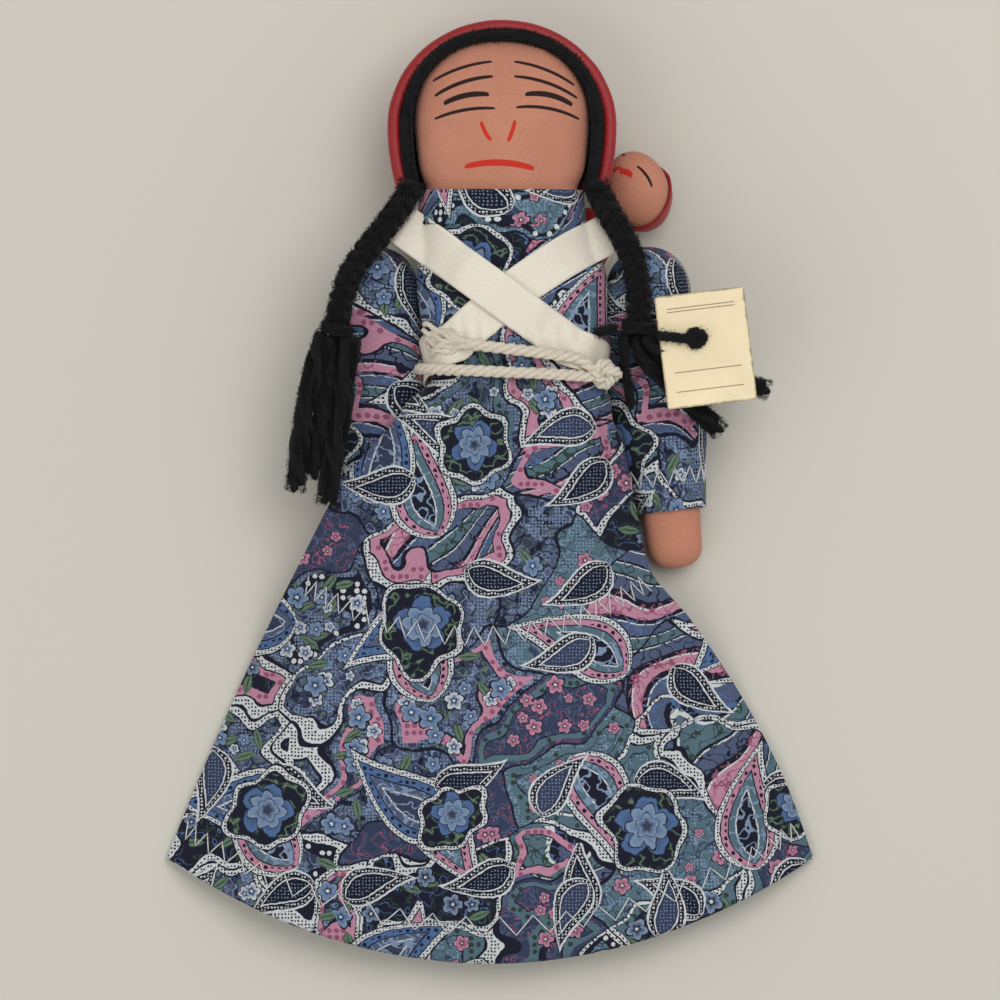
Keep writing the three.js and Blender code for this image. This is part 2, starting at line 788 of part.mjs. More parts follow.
const babyHeadZ = babyHeadThickness / 2 + carrierThickness + clearance + 0.6;
const babyFace = point(-0.32, 0.42, 0.85).normalize();
function babyBall(extra) {
  const ball = new THREE.SphereGeometry(1, 18, 10);
  ball.scale(babyHeadWidth / 2 + extra, babyHeadThickness / 2 + extra, babyHeadLength / 2 + extra);
  ball.rotateX(Math.PI / 2);
  ball.translate(babyHeadX, babyHeadY, babyHeadZ);
  return ball;
}
piece(doll, "baby_head", babyBall(0), skinColour);
const faceOpening = new THREE.BoxGeometry(60, 60, 30);
faceOpening.translate(0, 0, 15);
faceOpening.applyQuaternion(new THREE.Quaternion().setFromUnitVectors(point(0, 0, 1), babyFace));
faceOpening.translate(babyHeadX, babyHeadY, babyHeadZ);
const babyHood = cut(babyBall(clearance + carrierThickness), babyBall(clearance), faceOpening);
piece(doll, "baby_hood", babyHood, redColour);

// Point at a height off the bodice, at an angle round the body from its left side
function bodicePoint(angle, y, off) {
  const x = bodyCentreX(y) + (bodySideX(y) + off) * Math.cos(angle);
  return point(x, y, torsoZ + (bodiceHalf + off) * Math.sin(angle));
}

// Angle round the body of a place on the chest, as seen from above
function chestAngle(x, y, off) {
  const share = (x - bodyCentreX(y)) / (bodySideX(y) + off);
  return Math.acos(THREE.MathUtils.clamp(share, -1, 1));
}

const strapOff = drapeGap + ribbonThickness;
const shoulderCrestZ = torsoZ + 7.4;
const shoulderTuckZ = torsoZ - 9;

// Ribbon strap from behind one shoulder, across the chest and round the other side of the waist
function strap(shoulder, waist, lift) {
  const along = waist.clone().sub(shoulder);
  const run = along.length();
  along.normalize();
  const across = point(-along.y, along.x, 0);
  const offsets = [-0.5, -0.17, 0.17, 0.5].map((share) => share * ribbonWidth);
  const rows = [];
  const turnSteps = 5;
  const turnReach = 2.6;
  for (let i = 0; i < turnSteps; i += 1) {
    const angle = mix(-0.5, 0.5, i / turnSteps) * Math.PI;
    const centre = shoulder.clone().addScaledVector(along, -turnReach * Math.cos(angle));
    centre.z = mix(shoulderTuckZ, shoulderCrestZ, 0.5 + 0.5 * Math.sin(angle));
    rows.push(offsets.map((offset) => centre.clone().addScaledVector(across, offset)));
  }
  const steps = 18;
  for (let i = 0; i <= steps; i += 1) {
    const centre = shoulder.clone().addScaledVector(along, (run * i) / steps);
    rows.push(offsets.map((offset) => {
      const place = centre.clone().addScaledVector(across, offset);
      const onChest = bodicePoint(chestAngle(place.x, place.y, strapOff), place.y, strapOff).z;
      place.z = Math.max(onChest, i < steps / 2 ? shoulderCrestZ : 0) + lift(place);
      return place;
    }));
  }
  const edge = rows[rows.length - 1].map((p) => ({ angle: chestAngle(p.x, p.y, strapOff), y: p.y }));
  const fall = 0.2;
  const wrapSteps = 8;
  const wrapEnd = along.x > 0 ? -0.1 * Math.PI : 1.1 * Math.PI;
  for (let i = 1; i <= wrapSteps; i += 1) {
    rows.push(edge.map((start) => {
      const angle = mix(start.angle, wrapEnd, i / wrapSteps);
      const turned = Math.abs(angle - start.angle) * (bodiceHalf + waistSideX) / 2;
      return bodicePoint(angle, start.y - fall * turned, strapOff);
    }));
  }
  return sheet(rows, ribbonThickness, -1);
}
const strapSlip = 1.1;
const underEnds = [
  point(headCentreX + strapShoulderX, strapShoulderY - strapSlip, 0),
  point(waistCentreX - strapWaistX, strapWaistY + strapSlip, 0),
];
const overEnds = [
  point(headCentreX - strapShoulderX, strapShoulderY + strapSlip, 0),
  point(waistCentreX + strapWaistX, strapWaistY - strapSlip, 0),
];
const underWay = underEnds[1].clone().sub(underEnds[0]);
const overWay = overEnds[1].clone().sub(overEnds[0]);
const between = overEnds[0].clone().sub(underEnds[0]);
const crossShare = between.clone().cross(overWay).z / underWay.clone().cross(overWay).z;
const crossing = underEnds[0].clone().addScaledVector(underWay, crossShare);
function overLift(place) {
  const away = Math.hypot(place.x - crossing.x, place.y - crossing.y);
  return (ribbonThickness + clearance) * (1 - ramp(ribbonWidth, 1.5 * ribbonWidth, away));
}
const noLift = () => 0;
piece(doll, "strap_under", strap(...underEnds, noLift), ribbonColour);
piece(doll, "strap_over", strap(...overEnds, overLift), ribbonColour);

// Belt cord round the waist, laid across itself at the front and knotted at the doll's left side
const beltRadius = cordDiameter / 2;
const beltOff = strapOff + clearance + beltRadius;
function beltPoint(degrees, y, off) {
  return bodicePoint(THREE.MathUtils.degToRad(degrees), y, off);
}
const loopStart = 20;
const loopTurn = 337;
const loopPath = [];
for (let turned = 0; turned <= loopTurn; turned += loopTurn / 30) {
  const share = turned / loopTurn;
  loopPath.push(beltPoint(loopStart - turned, beltY + beltRise * Math.sin(Math.PI * share), beltOff));
}
piece(doll, "belt_loop", cordTube(loopPath, cordDiameter, 36, 4), cordColour);
const endOff = beltOff + 0.3;
const endStart = 50;
const endStop = 120;
function endPoint(degrees) {
  return beltPoint(degrees, beltEndY + (beltEndRise * (degrees - endStart)) / (endStop - endStart), endOff);
}
const endPath = [];
for (let degrees = endStart; degrees <= endStop; degrees += 10) endPath.push(endPoint(degrees));
piece(doll, "belt_end", cordTube(endPath, cordDiameter, 14, 4), cordColour);
const knotPlace = beltPoint(31, beltY + 0.8, beltOff + knotCord);
const knot = new THREE.TorusKnotGeometry(knotLoop, knotCord / 2, 32, 6, 2, 3);
knot.rotateX(0.6);
knot.translate(knotPlace.x, knotPlace.y, knotPlace.z);
piece(doll, "belt_knot", geometryOf(solid(knot)), cordColour);

// Frayed plies that fan out from the belt's loose end
const frayRoot = [endPoint(endStop + 1), endPoint(endStop + 5)];
const frayY = beltEndY + beltEndRise + 0.3;
let fray = solid(cordTube(frayRoot, cordDiameter, 1, 4));
for (const spread of [-4.4, -2.2, 0, 2.6, 5.6]) {
  const ply = [
    beltPoint(endStop + 3, frayY + 0.16 * spread, endOff),
    beltPoint(endStop + 16, frayY + 0.7 + 0.6 * spread, beltOff),
    beltPoint(endStop + 30, frayY + 1.3 + spread, beltOff - 0.5),
    beltPoint(endStop + 41 - 0.5 * Math.abs(spread), frayY + 1.5 + 1.3 * spread, beltOff - 0.6),
  ];
  fray = fray.add(solid(cordTube(ply, plyDiameter, 5, 2)));
}
piece(doll, "belt_fray", geometryOf(fray), cordColour);

// Braids with three loose tails, a yarn tie and the tie's own ends
const leftBraidPath = [
  point(32.2, 97.2, 38.5),
  point(33.4, 93.5, 38.2),
  point(36, 88.4, 40.6),
  point(39.4, 82.4, 41.6),
  point(43, 75.6, 41.6),
  point(45.2, 67.6, 40.6),
  point(46, 59, 38.6),
  point(45.6, 51, 37.4),
];
const rightBraidPath = [
  point(-23.8, 97.2, 38.4),
  point(-25, 93.5, 38.1),
  point(-28, 88.4, 40.5),
  point(-32.4, 82.4, 41.4),
  point(-37.4, 76, 41.4),
  point(-42.4, 69, 40.8),
  point(-45.8, 60, 39.2),
  point(-47.4, 50.4, 37.5),
];
const leftTails = [
  [point(48.6, 50.2, 38.4), point(54, 44, 36.2), point(63, 38.8, 34), point(86.6, 32.4, 30)],
  [point(45.2, 50, 34.4), point(48, 42.6, 33.4), point(56, 34.4, 31.5), point(71.6, 19.4, 27.6)],
];
const rightTails = [
  [point(-50.6, 50.2, 38.6), point(-54.6, 38, 34.6), point(-57.8, 22, 30), point(-60.4, 1, 25.6)],
  [point(-46.6, 49.9, 35), point(-49.4, 37, 32.4), point(-52.4, 20, 28.4), point(-54.8, 5, 25.8)],
  [point(-42.8, 48.9, 38.8), point(-44.6, 37.4, 35), point(-46.8, 20, 31), point(-51, -3, 26.4)],
];
const tieEnds = [
  [point(39.3, 52, 37.8), point(36, 50.8, 38.4), point(31.6, 50, 38.8)],
  [point(40.6, 50.4, 37.4), point(41.4, 42, 34.4), point(42.6, 34, 31.6), point(43.8, 26.4, 29.4)],
];

function braid(path) {
  const length = new THREE.CatmullRomCurve3(path).getLength();
  const lumps = 7;
  const size = (t) => (braidDiameter / 2) * (0.94 + 0.06 * Math.cos(2 * Math.PI * lumps * t));
  const half = rounded(size, length, braidDiameter / 2, braidDiameter / 2);
  return sweep(path, half, half, 20, 10);
}

function strand(path, diameter) {
  const length = new THREE.CatmullRomCurve3(path).getLength();
  const half = rounded((t) => (diameter / 2) * mix(1, 0.72, t), length, diameter / 2, 2 * diameter);
  return sweep(path, half, half, 9, 8);
}

function tie(path) {
  const end = path[path.length - 1];
  const way = end.clone().sub(path[path.length - 2]).normalize();
  const ring = new THREE.TorusGeometry((braidDiameter + tieWire) / 2 - tieNip, tieWire / 2, 7, 18);
  ring.applyQuaternion(new THREE.Quaternion().setFromUnitVectors(point(0, 0, 1), way));
  const place = end.clone().addScaledVector(way, -tieWire / 2);
  ring.translate(place.x, place.y, place.z);
  return ring;
}
const braids = [
  { side: "left", path: leftBraidPath, tails: leftTails },
  { side: "right", path: rightBraidPath, tails: rightTails },
];
for (const { side, path, tails } of braids) {
  piece(doll, `${side}_braid`, braid(path), yarnColour);
  piece(doll, `${side}_tie`, tie(path), yarnColour);
  tails.forEach((tail, i) => piece(doll, `${side}_tail_${i + 1}`, strand(tail, tailDiameter), yarnColour));
}
tieEnds.forEach((end, i) => piece(doll, `tie_end_${i + 1}`, strand(end, tieEndDiameter), yarnColour));

// Paper tag with its yarn loop
const tagOutline = new THREE.Shape();
const tagX = tagWidth / 2;
const tagY = tagLength / 2;
tagOutline.moveTo(-tagX + tagCorner, -tagY);
tagOutline.absarc(tagX - tagCorner, -tagY + tagCorner, tagCorner, -Math.PI / 2, 0);
tagOutline.absarc(tagX - tagCorner, tagY - tagCorner, tagCorner, 0, Math.PI / 2);
tagOutline.absarc(-tagX + tagCorner, tagY - tagCorner, tagCorner, Math.PI / 2, Math.PI);
tagOutline.absarc(-tagX + tagCorner, -tagY + tagCorner, tagCorner, Math.PI, 1.5 * Math.PI);
const holeX = -2.6;
const holeY = 3.4;
tagOutline.holes.push(new THREE.Path().absarc(holeX, holeY, tagHole / 2, 0, 2 * Math.PI));
const tagSheet = { depth: tagThickness, bevelEnabled: false, curveSegments: 5 };
const tagPlate = new THREE.ExtrudeGeometry(tagOutline, tagSheet);
const tagGroup = new THREE.Group();
tagGroup.name = "tag_group";
tagGroup.position.set(tagCentreX, tagCentreY, tagZ);
tagGroup.rotation.set(0, THREE.MathUtils.degToRad(tagTilt), THREE.MathUtils.degToRad(tagTurn));
doll.add(tagGroup);
piece(tagGroup, "paper_tag", tagPlate, paperColour);
const loopRadius = loopDiameter / 2;
const loopOver = tagThickness + loopRadius + clearance;
const tagLoopPath = [
  point(-tagX - 1.2, holeY + 2.3, loopOver),
  point(-tagX + 3, holeY + 1.4, loopOver),
  point(holeX - 3.4, holeY + 0.2, loopOver),
  point(holeX - 0.4, holeY, loopOver - 0.7),
  point(holeX, holeY, tagThickness / 2),
];
piece(tagGroup, "tag_loop", cordTube(tagLoopPath, loopDiameter, 16, 4), yarnColour);

export default doll;
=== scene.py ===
import bpy
import bmesh
import math
import random
from mathutils import Matrix, Vector, noise


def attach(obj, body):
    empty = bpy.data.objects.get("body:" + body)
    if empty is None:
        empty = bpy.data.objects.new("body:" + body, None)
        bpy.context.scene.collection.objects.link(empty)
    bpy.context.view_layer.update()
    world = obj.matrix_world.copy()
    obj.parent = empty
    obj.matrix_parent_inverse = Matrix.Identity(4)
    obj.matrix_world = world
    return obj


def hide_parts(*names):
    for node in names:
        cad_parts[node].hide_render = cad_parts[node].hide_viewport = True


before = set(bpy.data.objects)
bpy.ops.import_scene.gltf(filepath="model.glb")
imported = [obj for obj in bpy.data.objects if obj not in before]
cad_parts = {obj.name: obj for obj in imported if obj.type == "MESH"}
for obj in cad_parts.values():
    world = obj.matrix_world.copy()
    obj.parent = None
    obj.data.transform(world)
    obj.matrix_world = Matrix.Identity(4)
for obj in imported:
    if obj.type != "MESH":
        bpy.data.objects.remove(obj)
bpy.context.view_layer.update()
scene = bpy.context.scene
mm = 0.001
fullTurn = 2 * math.pi
up = Vector((0, 0, 1))
print("frame loaded", len(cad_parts), "nodes")


# small helpers for shapes, all in millimetres until a mesh is made

def mix(a, b, share):
    return a + (b - a) * share


def ramp(start, stop, value):
    share = min(1.0, max(0.0, (value - start) / (stop - start)))
    return share * share * (3 - 2 * share)


def hump(centre, reach, value):
    return 1 - ramp(0, reach, abs(value - centre))


def wrinkle(x, y, z, size):
    return noise.noise(Vector((x, y, z)) / size)


def squared(value, power):  # a cosine or sine drawn out towards a box, with its sign
    return math.copysign(abs(value) ** power, value)


def curveThrough(*stations):  # smooth curve through (place, value) pairs, with no overshoot
    rows = sorted(stations)
    last = len(rows) - 1
    rise = [(rows[i + 1][1] - rows[i][1]) / (rows[i + 1][0] - rows[i][0]) for i in range(last)]
    slope = [rise[0]]
    for before, after in zip(rise, rise[1:]):
        slope.append(0 if before * after <= 0 else 2 * before * after / (before + after))
    slope.append(rise[-1])

    def valueAt(place):
        place = min(rows[last][0], max(rows[0][0], place))
        i = next(k for k in range(last) if place <= rows[k + 1][0])
        span = rows[i + 1][0] - rows[i][0]
        t = (place - rows[i][0]) / span
        back = (1 - t) ** 2
        start = rows[i][1] * (1 + 2 * t) * back + span * slope[i] * t * back
        return start + rows[i + 1][1] * t * t * (3 - 2 * t) + span * slope[i + 1] * t * t * (t - 1)
    return valueAt


def smoothPath(points, count):  # evenly spaced points on a smooth curve through a few points
    knots = [Vector(p) for p in points]
    ends = [2 * knots[0] - knots[1]] + knots + [2 * knots[-1] - knots[-2]]
    fine = []
    for i in range(len(knots) - 1):
        a, b, c, d = ends[i:i + 4]
        for k in range(24):
            t = k / 24
            fine.append(0.5 * (2 * b + (c - a) * t + (2 * a - 5 * b + 4 * c - d) * t ** 2
                               + (3 * b - a - 3 * c + d) * t ** 3))
    fine.append(knots[-1])
    run = [0.0]
    for a, b in zip(fine, fine[1:]):
        run.append(run[-1] + (b - a).length)
    spaced = []
    k = 0
    for i in range(count):
        aim = run[-1] * i / (count - 1)
        while k < len(run) - 2 and run[k + 1] < aim:
            k += 1
        spaced.append(fine[k].lerp(fine[k + 1], (aim - run[k]) / (run[k + 1] - run[k])))
    return spaced


def pathFrames(points):  # tangent, side and upper direction at each point of a path
    frames = []
    upper = up
    for i, place in enumerate(points):
        along = (points[min(i + 1, len(points) - 1)] - points[max(i - 1, 0)]).normalized()
        upper = (upper - along * upper.dot(along)).normalized()
        frames.append((place, along, along.cross(upper), upper))
    return frames


def pathLength(points):
    return sum((Vector(b) - Vector(a)).length for a, b in zip(points, points[1:]))


def around(spot, side, upper, angle, size):  # a place on a ring about a spot of a path
    return spot + (side * math.cos(angle) + upper * math.sin(angle)) * size


# a grid of faces laid onto a shape is the start of every cloth, bag and yarn

def layGrid(bm, columns, rows, place, cut, closed=False):
    cutLayer = bm.loops.layers.uv.verify()
    made = bmesh.ops.create_grid(bm, x_segments=columns, y_segments=rows, size=0.5)["verts"]
    share = {v: (v.co.x + 0.5, v.co.y + 0.5) for v in made}
    for face in {f for v in made for f in v.link_faces}:
        for loop in face.loops:
            loop[cutLayer].uv = [c * mm for c in cut(*share[loop.vert])]
    for v in made:
        v.co = place(*share[v]) * mm
    if closed:
        bmesh.ops.remove_doubles(bm, verts=made, dist=2e-6)


def openSheets(bm):  # the connected sets of faces that have a free edge
    left = set(bm.faces)
    while left:
        sheet, waiting = [], [left.pop()]
        while waiting:
            face = waiting.pop()
            sheet.append(face)
            beside = {f for edge in face.edges for f in edge.link_faces} & left
            left -= beside
            waiting.extend(beside)
        if any(edge.is_boundary for face in sheet for edge in face.edges):
            yield sheet


def closeEnds(bm):
    bmesh.ops.holes_fill(bm, edges=[e for e in bm.edges if e.is_boundary])


def placeInScene(name, data):
    obj = bpy.data.objects.new(name, data)
    scene.collection.objects.link(obj)
    return obj


def finishPiece(bm, name, material, body, nodes=(), slot=None, wall=0, smooth=0, facing=None):
    bmesh.ops.recalc_face_normals(bm, faces=bm.faces)
    bm.normal_update()
    if facing:
        for sheet in openSheets(bm):
            if sum(f.normal.dot(facing) * f.calc_area() for f in sheet) < 0:
                bmesh.ops.reverse_faces(bm, faces=sheet)
    mesh = bpy.data.meshes.new(name)
    bm.to_mesh(mesh)
    bm.free()
    mesh.shade_smooth()
    mesh.materials.append(material)
    obj = placeInScene(name, mesh)
    if wall:
        cloth = obj.modifiers.new("wall", "SOLIDIFY")
        cloth.thickness = wall * mm
        cloth.offset = -1
    if smooth:
        fine = obj.modifiers.new("smooth", "SUBSURF")
        fine.levels = smooth
        fine.render_levels = smooth
    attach(obj, body)
    if nodes:
        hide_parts(*nodes)
    return obj


def gridPiece(columns, rows, place, cut, name, material, body, nodes, slot, closed=False, **finish):
    bm = bmesh.new()
    layGrid(bm, columns, rows, place, cut, closed)
    return finishPiece(bm, name, material, body, nodes, slot, **finish)


# node helpers

def newGroup(name, inputs, outputs):
    tree = bpy.data.node_groups.new(name, "ShaderNodeTree")
    for label, kind, value in inputs:
        socket = tree.interface.new_socket(name=label, in_out="INPUT", socket_type="NodeSocket" + kind)
        if value is not None:
            socket.default_value = value
    for label, kind in outputs:
        tree.interface.new_socket(name=label, in_out="OUTPUT", socket_type="NodeSocket" + kind)
    inside = tree.nodes.new("NodeGroupInput")
    outside = tree.nodes.new("NodeGroupOutput")
    return tree, inside.outputs, outside.inputs


def feed(tree, socket, value):
    if isinstance(value, bpy.types.NodeSocket):
        tree.links.new(value, socket)
    elif value is not None:
        socket.default_value = value


def calc(tree, operation, *values):
    node = tree.nodes.new("ShaderNodeMath")
    node.operation = operation
    for socket, value in zip(node.inputs, values):
        feed(tree, socket, value)
    return node.outputs[0]


def vectorCalc(tree, operation, *values):
    node = tree.nodes.new("ShaderNodeVectorMath")
    node.operation = operation
    for socket, value in zip(node.inputs, values):
        feed(tree, socket, value)
    return node.outputs["Value"] if operation in ("LENGTH", "DOT_PRODUCT", "DISTANCE") else node.outputs[0]


def colourMix(tree, share, a, b, blend="MIX"):
    node = tree.nodes.new("ShaderNodeMix")
    node.data_type = "RGBA"
    node.blend_type = blend
    feed(tree, node.inputs[0], share)
    feed(tree, node.inputs[6], a)
    feed(tree, node.inputs[7], b)
    return node.outputs[2]


def noiseAt(tree, vector, scale, detail=2.0, rough=0.5):
    node = tree.nodes.new("ShaderNodeTexNoise")
    feed(tree, node.inputs["Vector"], vector)
    node.inputs["Scale"].default_value = scale
    node.inputs["Detail"].default_value = detail
    node.inputs["Roughness"].default_value = rough
    return node


def drifted(tree, start, place, scale, detail, reach):  # a start moved about by a noise
    drift = vectorCalc(tree, "SUBTRACT", noiseAt(tree, place, scale, detail).outputs[1], (0.5, 0.5, 0.5))
    return vectorCalc(tree, "ADD", start, vectorCalc(tree, "MULTIPLY", drift, (reach, reach, 0)))


def colourBar(tree, value, low, high, stops, blend):  # stops: where a colour starts, and the colour
    node = tree.nodes.new("ShaderNodeValToRGB")
    bar = node.color_ramp
    bar.interpolation = blend
    span = high - low
    feed(tree, node.inputs[0], calc(tree, "MULTIPLY_ADD", value, 1 / span, -low / span))
    while len(bar.elements) < len(stops):
        bar.elements.new(1.0)
    for element, (start, colour) in zip(bar.elements, stops):
        element.position = (start - low) / span
        element.color = colour
    return node.outputs[0]


def placeGroup(tree, group, **values):
    node = tree.nodes.new("ShaderNodeGroup")
    node.node_tree = group
    for label, value in values.items():
        feed(tree, node.inputs[label], value)
    return node.outputs


def within(tree, value, low, high):
    return calc(tree, "COMPARE", value, (low + high) / 2, (high - low) / 2)


def both(tree, *masks):
    result = masks[0]
    for mask in masks[1:]:
        result = calc(tree, "MULTIPLY", result, mask)
    return result


def screenColour(red, green, blue):  # 0 to 255 as seen on a screen, to the renderer's own scale
    def plain(value):
        value /= 255
        return value / 12.92 if value <= 0.04045 else ((value + 0.055) / 1.055) ** 2.4
    return (plain(red), plain(green), plain(blue), 1.0)


def shaded(tree, colour, *shades):
    for shade in shades:
        grey = tree.nodes.new("ShaderNodeCombineColor")
        for socket in grey.inputs:
            feed(tree, socket, shade)
        colour = colourMix(tree, 1.0, colour, grey.outputs[0], "MULTIPLY")
    return colour


# shared effects: plain weave, soft fading, motif cells for the print, ink strokes

effectLook = {"slub": 900.0, "over": 0.32, "threadShade": (0.22, 0.86), "fadeShade": (0.3, 0.85),
              "inkTaper": 0.16, "inkEdge": 6000.0}


def makeWeave():
    tree, given, out = newGroup("plainWeave", [("Vector", "Vector", None), ("Pitch", "Float", 0.0005)],
                                [("Height", "Float"), ("Shade", "Float")])
    parts = tree.nodes.new("ShaderNodeSeparateXYZ")
    feed(tree, parts.inputs[0], given["Vector"])
    turn = calc(tree, "DIVIDE", math.pi, given["Pitch"])
    warp = calc(tree, "SINE", calc(tree, "MULTIPLY", parts.outputs[0], turn))
    weft = calc(tree, "SINE", calc(tree, "MULTIPLY", parts.outputs[1], turn))
    slub = noiseAt(tree, given["Vector"], effectLook["slub"], 3.0).outputs[0]
    over = calc(tree, "MULTIPLY", warp, weft)
    thread = calc(tree, "ADD", calc(tree, "MULTIPLY", over, effectLook["over"]), slub)
    feed(tree, out["Height"], thread)
    # painted shade: the colour darkens where the crossing threads lie lower, and slub tone also varies at
    # random
    feed(tree, out["Shade"], calc(tree, "MULTIPLY_ADD", thread, *effectLook["threadShade"]))
    return tree


def makeFade():
    tree, given, out = newGroup("softFade", [("Vector", "Vector", None), ("Size", "Float", 0.03)],
                                [("Shade", "Float")])
    spread = tree.nodes.new("ShaderNodeCombineXYZ")
    for socket in spread.inputs:
        feed(tree, socket, given["Size"])
    scaled = vectorCalc(tree, "DIVIDE", given["Vector"], spread.outputs[0])
    cloud = noiseAt(tree, scaled, 1.0, 4.0, 0.6).outputs[0]
    feed(tree, out["Shade"], calc(tree, "MULTIPLY_ADD", cloud, *effectLook["fadeShade"]))
    return tree


def makeMotifCell():
    tree, given, out = newGroup(
        "motifCell",
        [("Vector", "Vector", None), ("Cell", "Float", 0.04), ("Jitter", "Float", 0.5),
         ("Shift", "Vector", None)],
        [("X", "Float"), ("Y", "Float"), ("Reach", "Float"), ("Angle", "Float"), ("Dice", "Float"),
         ("Choice", "Float"), ("Middle", "Vector")])
    place = vectorCalc(tree, "ADD", given["Vector"], given["Shift"])
    cells = tree.nodes.new("ShaderNodeTexVoronoi")
    cells.voronoi_dimensions = "2D"
    feed(tree, cells.inputs["Vector"], place)
    feed(tree, cells.inputs["Scale"], calc(tree, "DIVIDE", 1.0, given["Cell"]))
    feed(tree, cells.inputs["Randomness"], given["Jitter"])
    local = tree.nodes.new("ShaderNodeSeparateXYZ")
    feed(tree, local.inputs[0], vectorCalc(tree, "SUBTRACT", place, cells.outputs["Position"]))
    dice = tree.nodes.new("ShaderNodeSeparateColor")
    feed(tree, dice.inputs[0], cells.outputs["Color"])
    turn = calc(tree, "MULTIPLY", dice.outputs[0], fullTurn)
    cosine = calc(tree, "COSINE", turn)
    sine = calc(tree, "SINE", turn)
    x = calc(tree, "ADD", calc(tree, "MULTIPLY", local.outputs[0], cosine),
             calc(tree, "MULTIPLY", local.outputs[1], sine))
    y = calc(tree, "SUBTRACT", calc(tree, "MULTIPLY", local.outputs[1], cosine),
             calc(tree, "MULTIPLY", local.outputs[0], sine))
    feed(tree, out["X"], x)
    feed(tree, out["Y"], y)
    reach = calc(tree, "SQRT", calc(tree, "ADD", calc(tree, "MULTIPLY", x, x), calc(tree, "MULTIPLY", y, y)))
    feed(tree, out["Reach"], reach)
    feed(tree, out["Angle"], calc(tree, "ARCTAN2", y, x))
    feed(tree, out["Dice"], dice.outputs[1])
    feed(tree, out["Choice"], dice.outputs[2])
    feed(tree, out["Middle"], vectorCalc(tree, "SUBTRACT", cells.outputs["Position"], given["Shift"]))
    return tree


def makeInkStroke():  # an arc of ink with tapered ends, as seen along Z
    tree, given, out = newGroup(
        "inkStroke",
        [("Vector", "Vector", None), ("Centre", "Vector", None), ("Radius", "Float", 0.05),
         ("Start", "Vector", None), ("Chord", "Vector", None), ("Middle", "Vector", None),
         ("Span", "Float", 0.01), ("Width", "Float", 0.0006)],
        [("Mask", "Float")])
    flat = vectorCalc(tree, "MULTIPLY", given["Vector"], (1, 1, 0))
    away = vectorCalc(tree, "DISTANCE", flat, given["Centre"])
    off = calc(tree, "ABSOLUTE", calc(tree, "SUBTRACT", away, given["Radius"]))
    share = vectorCalc(tree, "DOT_PRODUCT", vectorCalc(tree, "SUBTRACT", flat, given["Start"]), given["Chord"])
    room = calc(tree, "MULTIPLY", share, calc(tree, "SUBTRACT", 1.0, share))
    full = calc(tree, "MAXIMUM", calc(tree, "MULTIPLY", room, 4.0), 0.0)
    taper = calc(tree, "POWER", full, effectLook["inkTaper"])
    edge = calc(tree, "SUBTRACT", calc(tree, "MULTIPLY", taper, given["Width"]), off)
    soft = calc(tree, "MULTIPLY_ADD", edge, effectLook["inkEdge"], 0.5)
    soft.node.use_clamp = True
    near = calc(tree, "LESS_THAN", vectorCalc(tree, "DISTANCE", flat, given["Middle"]), given["Span"])
    feed(tree, out["Mask"], both(tree, soft, near, calc(tree, "GREATER_THAN", room, 0.0)))
    return tree


weave = makeWeave()
fade = makeFade()
motifCell = makeMotifCell()
inkStroke = makeInkStroke()


# the print: paisley, plumes and small flowers on slate blue, sized in metres on the flat cloth

inks = {name: screenColour(*levels) for name, levels in {
    "slate": (80, 91, 119), "dusk": (54, 62, 88), "navy": (25, 27, 43), "sky": (126, 146, 172),
    "blue": (80, 108, 152), "white": (206, 210, 211), "pink": (188, 134, 156), "rose": (146, 84, 110),
    "green": (98, 122, 100), "moss": (48, 64, 56), "teal": (84, 110, 122)}.items()}
patchShape = {"size": 0.021, "long": 1.75, "lean": math.radians(34), "jitter": 0.85,
              "bends": ((26.0, 0.046), (95.0, 0.012))}


def makePatch():  # the print's curved patches: how deep a place lies in its patch, and the patch's dice
    tree, given, out = newGroup("printPatch", [("Vector", "Vector", None)],
                                [("Deep", "Float"), ("Kind", "Float"), ("Band", "Float"), ("Rim", "Float")])
    size, long = patchShape["size"], patchShape["long"]
    c, s = math.cos(patchShape["lean"]), math.sin(patchShape["lean"])
    curved = given["Vector"]
    for scale, reach in patchShape["bends"]:
        curved = drifted(tree, curved, given["Vector"], scale, 0.0, reach)
    drawn = tree.nodes.new("ShaderNodeCombineXYZ")
    feed(tree, drawn.inputs[0], vectorCalc(tree, "DOT_PRODUCT", curved, (c / long, s / long, 0)))
    feed(tree, drawn.inputs[1], vectorCalc(tree, "DOT_PRODUCT", curved, (-s, c, 0)))
    cells = {}
    for feature in ("F1", "DISTANCE_TO_EDGE"):
        node = tree.nodes.new("ShaderNodeTexVoronoi")
        node.voronoi_dimensions = "2D"
        node.feature = feature
        feed(tree, node.inputs["Vector"], drawn.outputs[0])
        node.inputs["Scale"].default_value = 1 / size
        node.inputs["Randomness"].default_value = patchShape["jitter"]
        cells[feature] = node.outputs
    dice = tree.nodes.new("ShaderNodeSeparateColor")
    feed(tree, dice.inputs[0], cells["F1"]["Color"])
    feed(tree, out["Deep"], calc(tree, "MULTIPLY", cells["DISTANCE_TO_EDGE"]["Distance"], size))
    for label, socket in zip(("Kind", "Band", "Rim"), dice.outputs):
        feed(tree, out[label], socket)
    return tree


